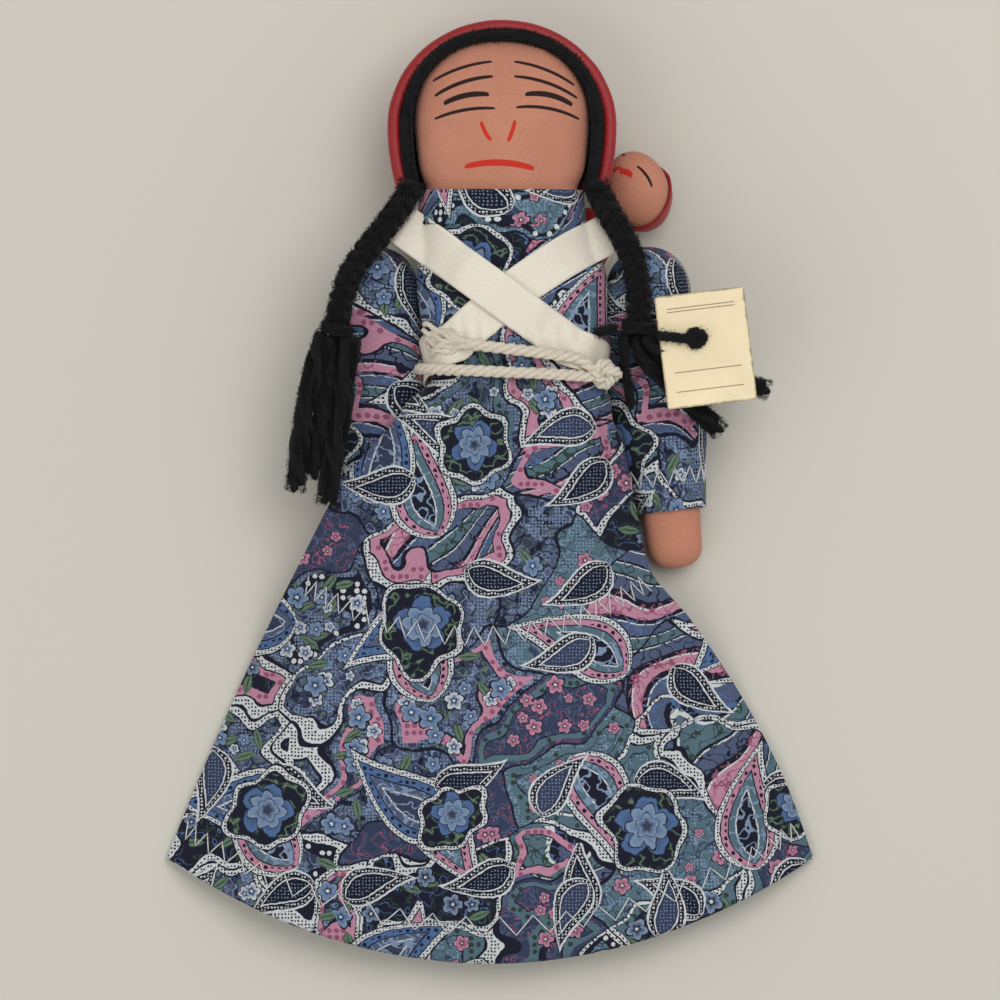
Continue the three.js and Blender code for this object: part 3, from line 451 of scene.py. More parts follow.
printPatch = makePatch()
printShape = {
    "shake": (700.0, 0.0007),  # unevenness, as a drawn line has
    "dot": (0.00105, 0.00032), "bead": (0.0022, 0.00078),  # pitch and radius
    # the dice of each ground, and plumes on what is left
    "slate": (0.0, 0.42), "teal": (0.42, 0.58), "pink": (0.58, 0.66), "navy": (0.66, 0.82),
    "sweep": (17.0, 0.08), "stripe": 0.019,
    "band": (0.0021, 0.0043), "banded": 0.48, "paleFrom": 0.56,
    "leaf": (0.0078, 0.0036, 0.0015),  # cell, half length and half width
    "flowers": ((0.0074, 7.2, "blue", "white", 0.0026, "slate"), (0.0088, 9.3, "blue", "sky", 0.0033, "slate"),
                (0.0066, 2.9, "rose", "pink", 0.0025, "pink"), (0.0080, 3.7, "rose", "pink", 0.0023, "teal"),
                (0.0082, 5.1, "dusk", "sky", 0.0032, "navy")),
    "largeDrops": ((3.3, "pink", "teal", "navy"), (8.1, "blue", "slate", "dusk")),
    "smallDrops": ((5.9, 0.031, "navy"), (1.1, 0.037, "dusk")),
    "bloomCell": 0.056,
    "petals": ((2.5, 0.0084, "dusk", "blue"), (3.5, 0.0060, "blue", "sky"), (2.5, 0.0033, "dusk", "sky")),
}


def makePrint():
    tree, given, out = newGroup("paisleyPrint", [("Vector", "Vector", None)], [("Color", "Color")])
    flat = given["Vector"]
    shakeScale, shakeReach = printShape["shake"]
    place = drifted(tree, flat, flat, shakeScale, 1.0, shakeReach)

    def maths(operation, *values):
        return calc(tree, operation, *values)

    def below(value, limit):
        return maths("LESS_THAN", value, limit)

    def above(value, limit):
        return maths("GREATER_THAN", value, limit)

    def between(value, low, high):
        return within(tree, value, low, high)

    def allOf(*masks):
        return both(tree, *masks)

    def cell(size, jitter, shift):
        return placeGroup(tree, motifCell, Vector=place, Cell=size, Jitter=jitter,
                          Shift=(shift, shift * 0.7, 0))

    def patchAt(spot):
        return placeGroup(tree, printPatch, Vector=spot)

    def bar(value, low, high, *stops, blend="CONSTANT"):
        return colourBar(tree, value, low, high, [(start, inks[ink]) for start, ink in stops], blend)

    def petalWave(angle, count):
        return maths("ABSOLUTE", maths("COSINE", maths("MULTIPLY", angle, count)))

    def paint(mask, ink):  # the next layer of ink
        nonlocal colour
        colour = colourMix(tree, mask, colour, inks[ink] if isinstance(ink, str) else ink)

    here = patchAt(place)
    deep, kind, band = here["Deep"], here["Kind"], here["Band"]
    vine = noiseAt(tree, place, 230.0, 1.5).outputs[0]
    cloud = noiseAt(tree, place, 170.0, 2.0).outputs[0]
    dotPitch, dotSize = printShape["dot"]
    beadPitch, beadSize = printShape["bead"]
    fine = cell(dotPitch, 0.2, 6.6)
    bead = cell(beadPitch, 0.12, 1.3)
    fineDot = below(fine["Reach"], dotSize)
    grounds = ("slate", "teal", "pink", "navy")
    slateEnd, tealEnd, navyEnd = (printShape[ground][1] for ground in ("slate", "teal", "navy"))

    def byGround(*names):
        return bar(kind, 0, 1, *[(printShape[ground][0], ink) for ground, ink in zip(grounds, names)])

    # the hearts of the patches, with line work
    colour = byGround("slate", "teal", "dusk", "navy")
    paint(allOf(above(cloud, 0.54), below(kind, slateEnd)), "dusk")
    paint(between(vine, 0.483, 0.515), byGround("navy", "dusk", "slate", "moss"))
    paint(between(vine, 0.575, 0.60), byGround("sky", "sky", "rose", "blue"))
    paint(allOf(between(vine, 0.40, 0.425), above(cloud, 0.47), below(kind, slateEnd)), "green")
    paint(allOf(fineDot, below(cloud, 0.47), below(kind, tealEnd)), "sky")

    # plumes: stripes that sweep along the patch
    sweepScale, sweepReach = printShape["sweep"]
    swept = drifted(tree, place, place, sweepScale, 1.0, sweepReach)
    slant = vectorCalc(tree, "DOT_PRODUCT", swept, (-0.5, 0.86, 0))
    run = maths("FRACT", maths("DIVIDE", slant, printShape["stripe"]))
    plume = above(kind, navyEnd)
    paint(plume, bar(run, 0, 1, (0.0, "navy"), (0.03, "pink"), (0.17, "white"), (0.19, "navy"), (0.27, "slate"),
                     (0.48, "white"), (0.50, "navy"), (0.53, "teal"), (0.70, "white"), (0.72, "navy"),
                     (0.76, "slate"), (0.94, "white"), (0.96, "navy")))
    paint(allOf(plume, between(vine, 0.49, 0.53)),
          bar(run, 0, 1, (0.0, "rose"), (0.25, "navy"), (0.5, "moss"), (0.72, "blue")))

    # an echo band inside some rims, with sprigs or beads
    bandStart, bandStop = printShape["band"]
    banded = printShape["banded"]
    paint(allOf(between(deep, bandStart, bandStop), below(band, banded)),
          bar(band, 0, 1, (0.0, "pink"), (0.14, "navy"), (0.32, "teal")))
    paint(allOf(between(deep, bandStop, bandStop + 0.0004), below(band, banded)), "navy")
    beadPatch = patchAt(bead["Middle"])
    beaded = allOf(between(beadPatch["Deep"], bandStart + 0.0006, bandStop - 0.0006),
                   below(beadPatch["Band"], banded))
    paint(allOf(beaded, below(bead["Reach"], beadSize)),
          bar(beadPatch["Band"], 0, 1, (0.0, "rose"), (0.14, "white"), (0.32, "moss")))

    # a dark line round every patch, and a pale rim with dark dots round some
    finePatch = patchAt(fine["Middle"])
    paleFrom = printShape["paleFrom"]
    paint(below(deep, 0.0004), "navy")
    paint(allOf(above(here["Rim"], paleFrom), below(deep, bandStart)),
          bar(deep, 0, 0.003, (0.0, "navy"), (0.0003, "white"), (0.0017, "navy")))
    paint(allOf(above(finePatch["Rim"], paleFrom), between(finePatch["Deep"], 0.0005, 0.0015), fineDot), "navy")

    # leaves
    leafCell, leafHalf, leafWide = printShape["leaf"]
    leaf = cell(leafCell, 0.75, 4.7)
    leafPatch = patchAt(leaf["Middle"])
    along = maths("DIVIDE", leaf["X"], leafHalf)
    half = maths("MULTIPLY", maths("SUBTRACT", 1.0, maths("MULTIPLY", along, along)), leafWide)
    share = maths("DIVIDE", maths("ABSOLUTE", leaf["Y"]), maths("MAXIMUM", half, 0.00001))
    leafy = maths("MAXIMUM", below(leafPatch["Kind"], slateEnd),
                  between(leafPatch["Kind"], *printShape["navy"]))
    paint(allOf(below(share, 1.0), leafy, above(leafPatch["Deep"], 0.003), above(leaf["Dice"], 0.3)),
          bar(share, 0, 1, (0.0, "moss"), (0.14, "green"), (0.8, "moss")))

    # small flowers, whole ones only, inside their patches
    for size, shift, heartInk, petalInk, reach, ground in printShape["flowers"]:
        flower = cell(size, 0.8, shift)
        patch = patchAt(flower["Middle"])
        grown = maths("MULTIPLY_ADD", flower["Choice"], 0.6 * reach, 0.55 * reach)
        petals = petalWave(flower["Angle"], 2.5)
        edge = maths("MULTIPLY", maths("MULTIPLY_ADD", petals, 0.42, 0.58), grown)
        share = maths("DIVIDE", flower["Reach"], edge)
        shown = allOf(between(patch["Kind"], *printShape[ground]), above(patch["Deep"], 0.0034),
                      above(flower["Dice"], 0.3))
        paint(allOf(shown, below(share, 1.2)),
              bar(share, 0, 1.2, (0.0, "white"), (0.16, "white"), (0.2, "navy"), (0.3, "navy"),
                  (0.35, heartInk), (0.9, petalInk), (1.0, petalInk), (1.05, "navy"), blend="LINEAR"))

    # teardrops with a curled tip, in bands of colour inward from the outline
    def teardrop(size, shift, long, half, rare):
        drop = cell(size, 0.3, shift)
        along = maths("MULTIPLY_ADD", drop["X"], 1 / long, 0.45)
        hook = maths("MAXIMUM", maths("SUBTRACT", along, 0.25), 0.0)
        curl = maths("MULTIPLY", maths("POWER", hook, 2.0), 0.6 * long)
        hand = maths("SIGN", maths("SUBTRACT", drop["Choice"], 0.5))
        side = maths("ABSOLUTE", maths("SUBTRACT", maths("MULTIPLY", drop["Y"], hand), curl))
        bulge = maths("POWER", maths("MAXIMUM", along, 0.0), 0.62)
        width = maths("MULTIPLY", maths("SINE", maths("MULTIPLY", bulge, math.pi)), half)
        depth = maths("MULTIPLY", maths("SUBTRACT", width, side), 0.9)
        return allOf(between(along, 0.0, 1.0), above(drop["Dice"], rare), above(depth, 0.0)), depth

    for shift, outer, middle, heart in printShape["largeDrops"]:
        shown, depth = teardrop(0.051, shift, 0.039, 0.0108, 0.25)
        paint(shown, bar(depth, 0, 0.012, (0.0, "navy"), (0.0004, "white"), (0.0018, "navy"), (0.0022, outer),
                         (0.0041, "navy"), (0.0045, middle), (0.0064, "white"), (0.0068, heart)))
        paint(allOf(shown, between(vine, 0.47, 0.525), above(depth, 0.0046)), "sky")
        paint(allOf(shown, between(depth, 0.0026, 0.0038), below(bead["Reach"], 0.00065)), "navy")
        paint(allOf(shown, between(depth, 0.0006, 0.0016), fineDot), "navy")
    for shift, size, heart in printShape["smallDrops"]:
        shown, depth = teardrop(size, shift, 0.023, 0.0062, 0.45)
        paint(shown, bar(depth, 0, 0.007, (0.0, "white"), (0.0006, "navy"), (0.0022, "white"), (0.0026, heart)))
        paint(allOf(shown, between(depth, 0.0009, 0.0018), fineDot), "white")
        paint(allOf(shown, above(depth, 0.0033), below(fine["Reach"], 0.00022)), "sky")

    # large blooms of three rounds of petals on a dark leafy ground with a dotted rim
    bloom = cell(printShape["bloomCell"], 0.4, 1.75)
    shown = above(bloom["Dice"], 0.38)
    lobes = maths("COSINE", maths("MULTIPLY", bloom["Angle"], 6.0))
    outline = maths("MULTIPLY", maths("MULTIPLY_ADD", lobes, 0.0011, 0.0122),
                    maths("MULTIPLY_ADD", noiseAt(tree, place, 60.0, 0.0).outputs[0], 0.9, 0.55))
    grown = maths("MULTIPLY_ADD", bloom["Choice"], 0.45, 0.68)
    depth = maths("SUBTRACT", maths("MULTIPLY", outline, grown), bloom["Reach"])
    paint(allOf(shown, above(depth, -0.0016)),
          bar(depth, -0.002, 0.004, (-0.002, "navy"), (-0.0012, "white"), (0.0, "navy")))
    paint(allOf(shown, between(depth, -0.0010, -0.0001), fineDot), "navy")
    paint(allOf(shown, above(depth, 0.0006), between(vine, 0.40, 0.50)),
          bar(vine, 0.38, 0.52, (0.38, "moss"), (0.43, "green"), (0.47, "moss")))
    ruffle = maths("MULTIPLY", maths("MULTIPLY_ADD", cloud, 0.8, 0.6), grown)
    for count, reach, innerInk, outerInk in printShape["petals"]:
        petals = petalWave(bloom["Angle"], count)
        edge = maths("MULTIPLY", ruffle, maths("MULTIPLY_ADD", petals, 0.34 * reach, 0.66 * reach))
        share = maths("DIVIDE", bloom["Reach"], edge)
        paint(allOf(shown, below(share, 1.1)),
              bar(share, 0, 1.1, (0.35, innerInk), (0.92, outerInk), (1.0, outerInk), (1.05, "navy"),
                  blend="LINEAR"))

    # ink that took a little unevenly
    grain = maths("MULTIPLY_ADD", noiseAt(tree, flat, 1300.0, 2.0).outputs[0], 0.5, 0.67)
    feed(tree, out["Color"], shaded(tree, colour, grain))
    return tree


paisleyPrint = makePrint()


# finishes

def newFinish(name, rough=0.9, sheen=0.0, specular=0.25):
    material = bpy.data.materials.new(name)
    material.use_nodes = True
    tree = material.node_tree
    shader = tree.nodes["Principled BSDF"]
    shader.inputs["Roughness"].default_value = rough
    shader.inputs["Specular IOR Level"].default_value = specular
    shader.inputs["Sheen Weight"].default_value = sheen
    shader.inputs["Sheen Roughness"].default_value = 0.4
    return material, tree, shader


def cutPlace(tree):
    return tree.nodes.new("ShaderNodeUVMap").outputs[0]


def objectPlace(tree):
    return tree.nodes.new("ShaderNodeTexCoord").outputs["Object"]


def raiseThreads(tree, shader, height, depth, strength):
    bump = tree.nodes.new("ShaderNodeBump")
    bump.inputs["Strength"].default_value = strength
    bump.inputs["Distance"].default_value = depth
    feed(tree, bump.inputs["Height"], height)
    feed(tree, shader.inputs["Normal"], bump.outputs[0])


def wovenFinish(name, colour, pitch, fadeSize, rough, sheen, depth, specular=0.2, strength=0.6, cut=True):
    material, tree, shader = newFinish(name, rough, sheen, specular)
    place = cutPlace(tree) if cut else objectPlace(tree)
    if colour is None:  # the print gives the colour
        colour = placeGroup(tree, paisleyPrint, Vector=place)["Color"]
    threads = placeGroup(tree, weave, Vector=place, Pitch=pitch)
    clouds = placeGroup(tree, fade, Vector=objectPlace(tree), Size=fadeSize)
    feed(tree, shader.inputs["Base Color"], shaded(tree, colour, threads["Shade"], clouds["Shade"]))
    raiseThreads(tree, shader, threads["Height"], depth, strength)
    return material, tree, shader


def yarnFinish(name, colour, pitch, sheen):
    material, tree, shader = newFinish(name, 0.95, sheen, 0.15)
    parts = tree.nodes.new("ShaderNodeSeparateXYZ")
    feed(tree, parts.inputs[0], cutPlace(tree))
    lay = calc(tree, "ADD", parts.outputs[1], calc(tree, "MULTIPLY", parts.outputs[0], 1.4))
    hairs = calc(tree, "SINE", calc(tree, "MULTIPLY", lay, fullTurn / pitch))
    nap = noiseAt(tree, objectPlace(tree), 1400.0, 3.0).outputs[0]
    height = calc(tree, "ADD", calc(tree, "MULTIPLY", hairs, 0.5), nap)
    # painted shade: darker in the grooves between the yarn's hairs, and the nap also varies tone at random
    shade = calc(tree, "MULTIPLY_ADD", height, 0.45, 0.75)
    feed(tree, shader.inputs["Base Color"], shaded(tree, colour, shade))
    raiseThreads(tree, shader, height, depth=0.0003, strength=0.7)
    return material


tagShape = {"place": (66.4, 45.4, 38), "tilt": math.radians(6), "turn": math.radians(7), "half": (14.0, 17.5),
            "rules": (13.2, 12.2, -6.5, -12.5), "ruleHalf": 10.5, "rule": 0.16,
            "paper": screenColour(236, 219, 181), "ruleInk": screenColour(96, 80, 66),
            "darkEdge": screenColour(92, 70, 50)}


def paperFinish():
    material, tree, shader = newFinish("cardPaper", 0.75, 0.0, 0.3)
    place = objectPlace(tree)
    fibre = noiseAt(tree, place, 500.0, 5.0, 0.7).outputs[0]
    clouds = placeGroup(tree, fade, Vector=place, Size=0.012)
    colour = shaded(tree, tagShape["paper"], clouds["Shade"])
    onTag = tree.nodes.new("ShaderNodeMapping")
    onTag.vector_type = "TEXTURE"
    onTag.inputs["Location"].default_value = Vector(tagShape["place"]) * mm
    onTag.inputs["Rotation"].default_value = (0, tagShape["tilt"], tagShape["turn"])
    feed(tree, onTag.inputs["Vector"], place)
    parts = tree.nodes.new("ShaderNodeSeparateXYZ")
    feed(tree, parts.inputs[0], onTag.outputs[0])
    away = [calc(tree, "ABSOLUTE", parts.outputs[i]) for i in range(2)]
    for y in tagShape["rules"]:
        low, high = (y - tagShape["rule"]) * mm, (y + tagShape["rule"]) * mm
        line = both(tree, within(tree, parts.outputs[1], low, high),
                    calc(tree, "LESS_THAN", away[0], tagShape["ruleHalf"] * mm))
        colour = colourMix(tree, calc(tree, "MULTIPLY", line, 0.75), colour, tagShape["ruleInk"])
    # the colour darkens towards the tag's edges, along a border made uneven by noise
    edge = calc(tree, "MAXIMUM", *[calc(tree, "SUBTRACT", away[i], tagShape["half"][i] * mm) for i in range(2)])
    edgeWobble = calc(tree, "MULTIPLY_ADD", noiseAt(tree, place, 420.0, 3.0).outputs[0], 0.0012, -0.0006)
    darkEdge = calc(tree, "MULTIPLY_ADD", calc(tree, "ADD", edge, edgeWobble), 1400.0, 1.0)
    darkEdge.node.use_clamp = True
    colour = colourMix(tree, calc(tree, "MULTIPLY", darkEdge, 0.8), colour, tagShape["darkEdge"])
    feed(tree, shader.inputs["Base Color"], colour)
    raiseThreads(tree, shader, fibre, depth=0.00005, strength=0.3)
    return material


skinLook = {"colour": screenColour(193, 131, 107), "pitch": 0.0005, "fadeSize": 0.02, "rough": 0.95,
            "sheen": 0.1, "depth": 0.0002, "strength": 0.8, "cut": False}
satin = {"pitch": 0.0003, "fadeSize": 0.03, "sheen": 0.15, "depth": 0.00005}
printCotton = wovenFinish("printedCotton", None, pitch=0.0004, fadeSize=0.05, rough=0.9, sheen=0.08,
                          depth=0.0001, strength=0.5)[0]
skinCotton = wovenFinish("skinCotton", **skinLook)[0]
redCotton = wovenFinish("redCotton", screenColour(146, 20, 26), rough=0.5, specular=0.4, strength=0.3,
                        **satin)[0]
whiteRibbon = wovenFinish("whiteRibbon", screenColour(226, 218, 201), rough=0.55, specular=0.35, strength=0.35,
                          **satin)[0]
blackYarn = yarnFinish("blackYarn", screenColour(26, 26, 28), pitch=0.0011, sheen=0.05)
ecruCord = yarnFinish("ecruCord", screenColour(236, 225, 206), pitch=0.0007, sheen=0.05)
whiteThread = yarnFinish("whiteThread", screenColour(250, 250, 250), pitch=0.0004, sheen=0.0)
cardPaper = paperFinish()
print("finishes made")


# camera, floor and light

shot = {"pixel": 0.31, "centre": (3.1, -1.4, 20), "height": 3.0, "sensor": 36.0}
cameraData = bpy.data.cameras.new("camera")
cameraData.sensor_width = shot["sensor"]
cameraData.lens = shot["sensor"] * shot["height"] / (shot["pixel"] * 1000 * mm)
camera = placeInScene("camera", cameraData)
camera.location = Vector(shot["centre"]) * mm + Vector((0, 0, shot["height"]))
scene.camera = camera

studio = {"floor": screenColour(206, 202, 191), "floorSize": 6.0, "world": 0.56,
          "lamps": (("keyLamp", (0.35, 0.45, 1.25), 0.9, 7.8), ("fillLamp", (-0.8, -0.5, 1.0), 1.2, 3.4))}
bm = bmesh.new()
bmesh.ops.create_grid(bm, x_segments=1, y_segments=1, size=studio["floorSize"] / 2)
floorMesh = bpy.data.meshes.new("floor")
bm.to_mesh(floorMesh)
bm.free()
floorFinish, _, floorShader = newFinish("paleFloor", 0.95)
floorShader.inputs["Base Color"].default_value = studio["floor"]
floorMesh.materials.append(floorFinish)
floor = placeInScene("floor", floorMesh)
for name, place, size, power in studio["lamps"]:
    lampData = bpy.data.lights.new(name, "AREA")
    lampData.size = size
    lampData.energy = power
    lamp = placeInScene(name, lampData)
    lamp.location = place
    lamp.rotation_euler = Vector(place).to_track_quat("Z", "Y").to_euler()
world = bpy.data.worlds.new("studio")
world.use_nodes = True
world.node_tree.nodes["Background"].inputs["Color"].default_value = (1, 1, 1, 1)
world.node_tree.nodes["Background"].inputs["Strength"].default_value = studio["world"]
scene.world = world
scene.view_settings.view_transform = "Standard"
print("stage set")


# the body's middle line and the dress, as the solids have them

build = {"headX": 3.7, "torsoZ": 28.7, "bodiceHalf": 13.9, "topY": 85.6, "skirtTopY": 36, "hemCornerY": -113,
         "hemDrop": 32.5, "hemHalf": 100.8, "waistRight": -18, "waistLeft": 34, "seamZ": 2.4, "backZ": 14.8,
         "crownZ": 42.6, "hemCrownZ": 13}
bodyX = curveThrough((build["topY"], 4.2), (64, 6.9), (41, 8), (2, 6))
bodySide = curveThrough((build["topY"], 25.4), (64, 29.5), (51, 28.2), (39, 26), (35, 26), (2, 28))
bodiceRows = (build["topY"], 64, 51)
sideLength = build["skirtTopY"] - build["hemCornerY"]
frontLength = sideLength + build["hemDrop"]


def skirtRun(length, top, bottom, *shares):  # each share: how far down, and how far from the top's value
    return [(build["skirtTopY"] - length * down, mix(top, bottom, share)) for down, share in shares]


rightSide = curveThrough(
    *[(y, bodyX(y) - bodySide(y)) for y in bodiceRows],
    *skirtRun(sideLength, build["waistRight"], -build["hemHalf"], (0, 0), (0.054, 0.082), (0.208, 0.326),
              (0.376, 0.49), (0.624, 0.711), (0.852, 0.892), (1, 1)))
leftSide = curveThrough(
    *[(y, bodyX(y) + bodySide(y)) for y in bodiceRows],
    *skirtRun(sideLength, build["waistLeft"], build["hemHalf"], (0, 0), (0.141, 0.109), (0.275, 0.172),
              (0.389, 0.229), (0.503, 0.43), (0.685, 0.695), (0.852, 0.881), (1, 1)))
rightSeam = curveThrough(
    *skirtRun(sideLength, build["torsoZ"], build["seamZ"], (0, 0), (0.054, -0.057), (0.208, 0.088),
              (0.295, 0.232), (0.376, 0.346), (0.47, 0.635), (0.577, 0.92), (0.671, 1)))
leftSeam = curveThrough(
    *skirtRun(sideLength, build["torsoZ"], build["seamZ"], (0, 0), (0.141, 0.179), (0.275, 0.369),
              (0.389, 0.521), (0.51, 0.749), (0.671, 1)))
frontCrown = curveThrough(
    *skirtRun(frontLength, build["crownZ"], build["hemCrownZ"], (0, 0), (0.088, 0.034), (0.199, 0.155),
              (0.364, 0.375), (0.53, 0.51), (0.695, 0.608), (0.85, 0.713), (1, 1)))
backLow = curveThrough(
    *skirtRun(sideLength, build["backZ"], 0, (0, 0), (0.107, 0.189), (0.208, 0.351), (0.322, 0.608),
              (0.43, 0.865), (0.544, 1)))


def dressPlace(across, down):
    sideY = mix(build["topY"], build["hemCornerY"], down)
    y = mix(build["topY"], build["hemCornerY"] - build["hemDrop"] * (1 - across * across), down)
    share = (across + 1) / 2
    x = mix(rightSide(sideY), leftSide(sideY), share)
    seam = mix(rightSeam(sideY), leftSeam(sideY), share)
    skirt = ramp(37, 11, sideY)
    return x, y, seam, skirt, math.sqrt(max(0, 1 - across * across)), sideY


folds = {"pleat": 2.5, "reach": 13, "pressed": 0.35, "gathers": 19, "gatherDepth": 0.7, "collarRise": 3.0,
         "puff": 1.2, "puffRows": ((29.5, 10, 1), (48, 9, 1), (38.5, 5, -0.5)),  # centre, reach and share
         "sidePuff": 2.4, "sidePuffRows": ((47, 9, 0.25), (29.5, 7, 0.8), (38.5, 4, -0.5)), "wall": 0.7}
pleats = (
    (curveThrough((0, -44), (-40, -66), (-85, -78), (-130, -82)), 1.0),
    (curveThrough((20, -11), (-8, -16.5), (-45, -18), (-120, -21)), 0.8),
    (curveThrough((20, 15), (-40, 22), (-130, 27)), 0.5),
    (curveThrough((-10, 46), (-45, 58), (-130, 64)), 1.0),
)


def blouse(rows, y):  # the cloth is puffed out above and below the belt
    return sum(share * hump(centre, reach, y) for centre, reach, share in rows)


def sidePuff(across, sideY):
    return folds["sidePuff"] * across * blouse(folds["sidePuffRows"], sideY)


def collarRise(y, arc):
    return folds["collarRise"] * ramp(75, build["topY"], y) * math.sqrt(arc)


def pleatFall(x, y):
    fall = 0
    for line, share in pleats:
        away = x - line(y)
        fall += share * hump(0, folds["reach"], away)
        fall += folds["pressed"] * share * hump(2, 4.5, away) * hump(-55, 60, y)  # the pleat's pressed edge
    return fall


def dressFront(u, v):
    across = math.sin(math.pi * (u - 0.5))
    x, y, seam, skirt, arc, sideY = dressPlace(across, v)
    crown = mix(arc ** 0.8, 1 - abs(across) ** 3.6, skirt)
    edge = 1 - across ** 6
    z = mix(seam, frontCrown(y), crown) + collarRise(y, arc)
    z -= folds["pleat"] * ramp(35, -9, sideY) * edge * pleatFall(x, y)
    # gathers that the belt draws in
    drift = 2.4 * wrinkle(x, y * 0.3, 3, 26)
    near = ramp(60, 42, y) * ramp(-30, 30, y)
    z += folds["gatherDepth"] * near * arc * math.sin(folds["gathers"] * 2 * (u + 0.022 * drift) * math.pi)
    z += folds["puff"] * arc * blouse(folds["puffRows"], y)
    # the cloth's own unevenness
    z += edge * (0.5 * wrinkle(x, y, 7, 24) + 0.3 * wrinkle(x, 0.6 * y, 11, 8) + 0.1 * wrinkle(x, y, 5, 3))
    return Vector((x + sidePuff(across, sideY), y, z))


def dressBack(u, v):
    across = math.sin(math.pi * (u - 0.5))
    x, y, seam, skirt, arc, sideY = dressPlace(across, v)
    edge = seam - mix(0.4, build["seamZ"], skirt)
    overArm = ramp(-19.4, -24.9, x) * ramp(-48, -26, y)
    sag = mix(1 - arc, max(overArm, abs(across) ** 5), skirt)
    z = mix(backLow(mix(y, sideY, 0.25)), edge, sag) - collarRise(y, arc)
    return Vector((x + sidePuff(across, sideY), y, z + 0.2 * arc * ramp(-40, 0, y) * wrinkle(x, y, 19, 14)))


def flatCut(place, shift):
    def cut(u, v):
        spot = place(u, v)
        return spot.x + shift, spot.y + shift
    return cut


printShift = {"front": 400, "back": 900}  # where each cut lies on the printed cloth
dress = gridPiece(150, 150, dressFront, flatCut(dressFront, printShift["front"]), "dressFront", printCotton,
                  "torso", ["dress_front"], "printed_cotton", wall=folds["wall"], facing=up)
dressUnder = gridPiece(70, 80, dressBack, flatCut(dressBack, printShift["back"]), "dressBack", printCotton,
                       "torso", ["dress_back"], "printed_cotton", wall=folds["wall"], facing=-up)
print("dress laid")


# stuffed bags: head, arms, legs and torso

def bagPlace(bag, u, v):
    way = 1 if bag["tipY"] > bag["sewnY"] else -1
    bend = bag["tipY"] - way * bag["tipLength"]
    straight = abs(bend - bag["sewnY"])
    reach = straight + bag["tipLength"] * math.pi / 2
    run = v * reach
    if run <= straight:
        y, taper = bag["sewnY"] + way * run, 1.0
    else:
        turn = (run - straight) / bag["tipLength"]
        blunt = 2 / bag["blunt"]
        y = bend + way * bag["tipLength"] * max(0, math.sin(turn)) ** blunt
        taper = max(0, math.cos(turn)) ** blunt
    angle = fullTurn * u
    power = 2 / bag["square"]
    c, s = math.cos(angle), math.sin(angle)
    x = bag["halfWidth"](y) * taper * squared(c, power)
    z = bag["halfDepth"](y) * taper * squared(s, power)
    if x * bag["inward"] > 0:
        x += bag["inward"] * hump(-30, 38, y) * abs(c) ** 1.5
    lump = bag["lump"] * (1 + wrinkle(x + bag["seed"], y, z, 9)) * taper
    size = math.hypot(x, z) or 1
    return Vector((bag["x"](y) + x - lump * x / size, y, bag["z"](y) + z - lump * z / size))


def bagPiece(name, bag, material, body, nodes, slot, move=None, columns=48, rows=56, wall=0):
    def place(u, v):
        spot = bagPlace(bag, u, v)
        return move @ spot if move else spot
    bm = bmesh.new()
    girth = fullTurn * bag["halfWidth"](bag["sewnY"])
    run = abs(bag["tipY"] - bag["sewnY"])
    layGrid(bm, columns, rows, place, lambda u, v: (u * girth + bag["seed"], v * run), closed=True)
    if not wall:
        closeEnds(bm)
    obj = finishPiece(bm, name, material, body, nodes, slot, wall, smooth=1)
    return obj


def bagShape(**shape):  # a plain round bag, with what is said of this one
    return {"square": 2, "blunt": 2, "inward": 0, "lump": 0.3, "x": lambda y: 0, **shape}


def armLean(y):
    return 14.3 / 69.3 * min(y, 0)


headBag = bagShape(
    sewnY=82, tipY=141.4, tipLength=27.4, square=2.3, blunt=2.35, lump=0.25, seed=13,
    x=lambda y: build["headX"],
    z=curveThrough((93, build["torsoZ"]), (114, 24)),
    halfWidth=curveThrough((95.5, 23.6), (101, 25.8), (114, 27.6)),
    halfDepth=lambda y: mix(13.5, 17, ramp(93, 114, y)) if y > 93 else math.sqrt(13.5 ** 2 - (93 - y) ** 2))
torsoBag = bagShape(
    sewnY=79.6, tipY=7.6, tipLength=9, seed=29,
    x=bodyX,
    z=curveThrough((41, build["torsoZ"]), (2, 25.5)),
    halfWidth=lambda y: bodySide(y) - 2.6,
    halfDepth=curveThrough((41, 12.5), (2, 11)))
armBag = bagShape(
    sewnY=6, tipY=-87.1, tipLength=7, square=2.2, blunt=2.5, seed=41,
    z=armLean,
    halfWidth=curveThrough((6, 9.5), (-34.7, 9.6), (-69.3, 9.4), (-87.1, 8.6)),
    halfDepth=curveThrough((6, 7.5), (-69.3, 7.7), (-87.1, 6.6)))
legBag = bagShape(
    sewnY=6, tipY=-106, tipLength=10, seed=67,
    z=lambda y: 11.5 / 106 * min(y, 0) * (1.6 + 0.6 * y / 106),
    halfWidth=lambda y: math.sqrt(11.5 ** 2 - y * y) if y > 0 else mix(11.5, 9, ramp(0, -106, y)),
    halfDepth=curveThrough((0, 9), (-106, 8)))
sleeveBag = bagShape(
    sewnY=-69.3, tipY=13, tipLength=13, lump=0.45, seed=83,
    z=armLean,
    halfWidth=curveThrough((0, 13.4), (-32.6, 14.6), (-69.3, 11.4)),
    halfDepth=curveThrough((0, 10.9), (-69.3, 9.7)))
sleeves = {"left": dict(sleeveBag, inward=-3.4), "right": dict(sleeveBag, inward=4.2)}
shoulders = {"left": ((49, 64, 24), 6), "right": ((-35.2, 64, 24), -3)}  # place, and the arm's splay in degrees
hips = {"left": (19.5, -4, 22), "right": (-7.5, -4, 22)}


def shoulderPlace(side):
    place, splay = shoulders[side]
    return Matrix.Translation(place) @ Matrix.Rotation(math.radians(splay), 4, "Z")


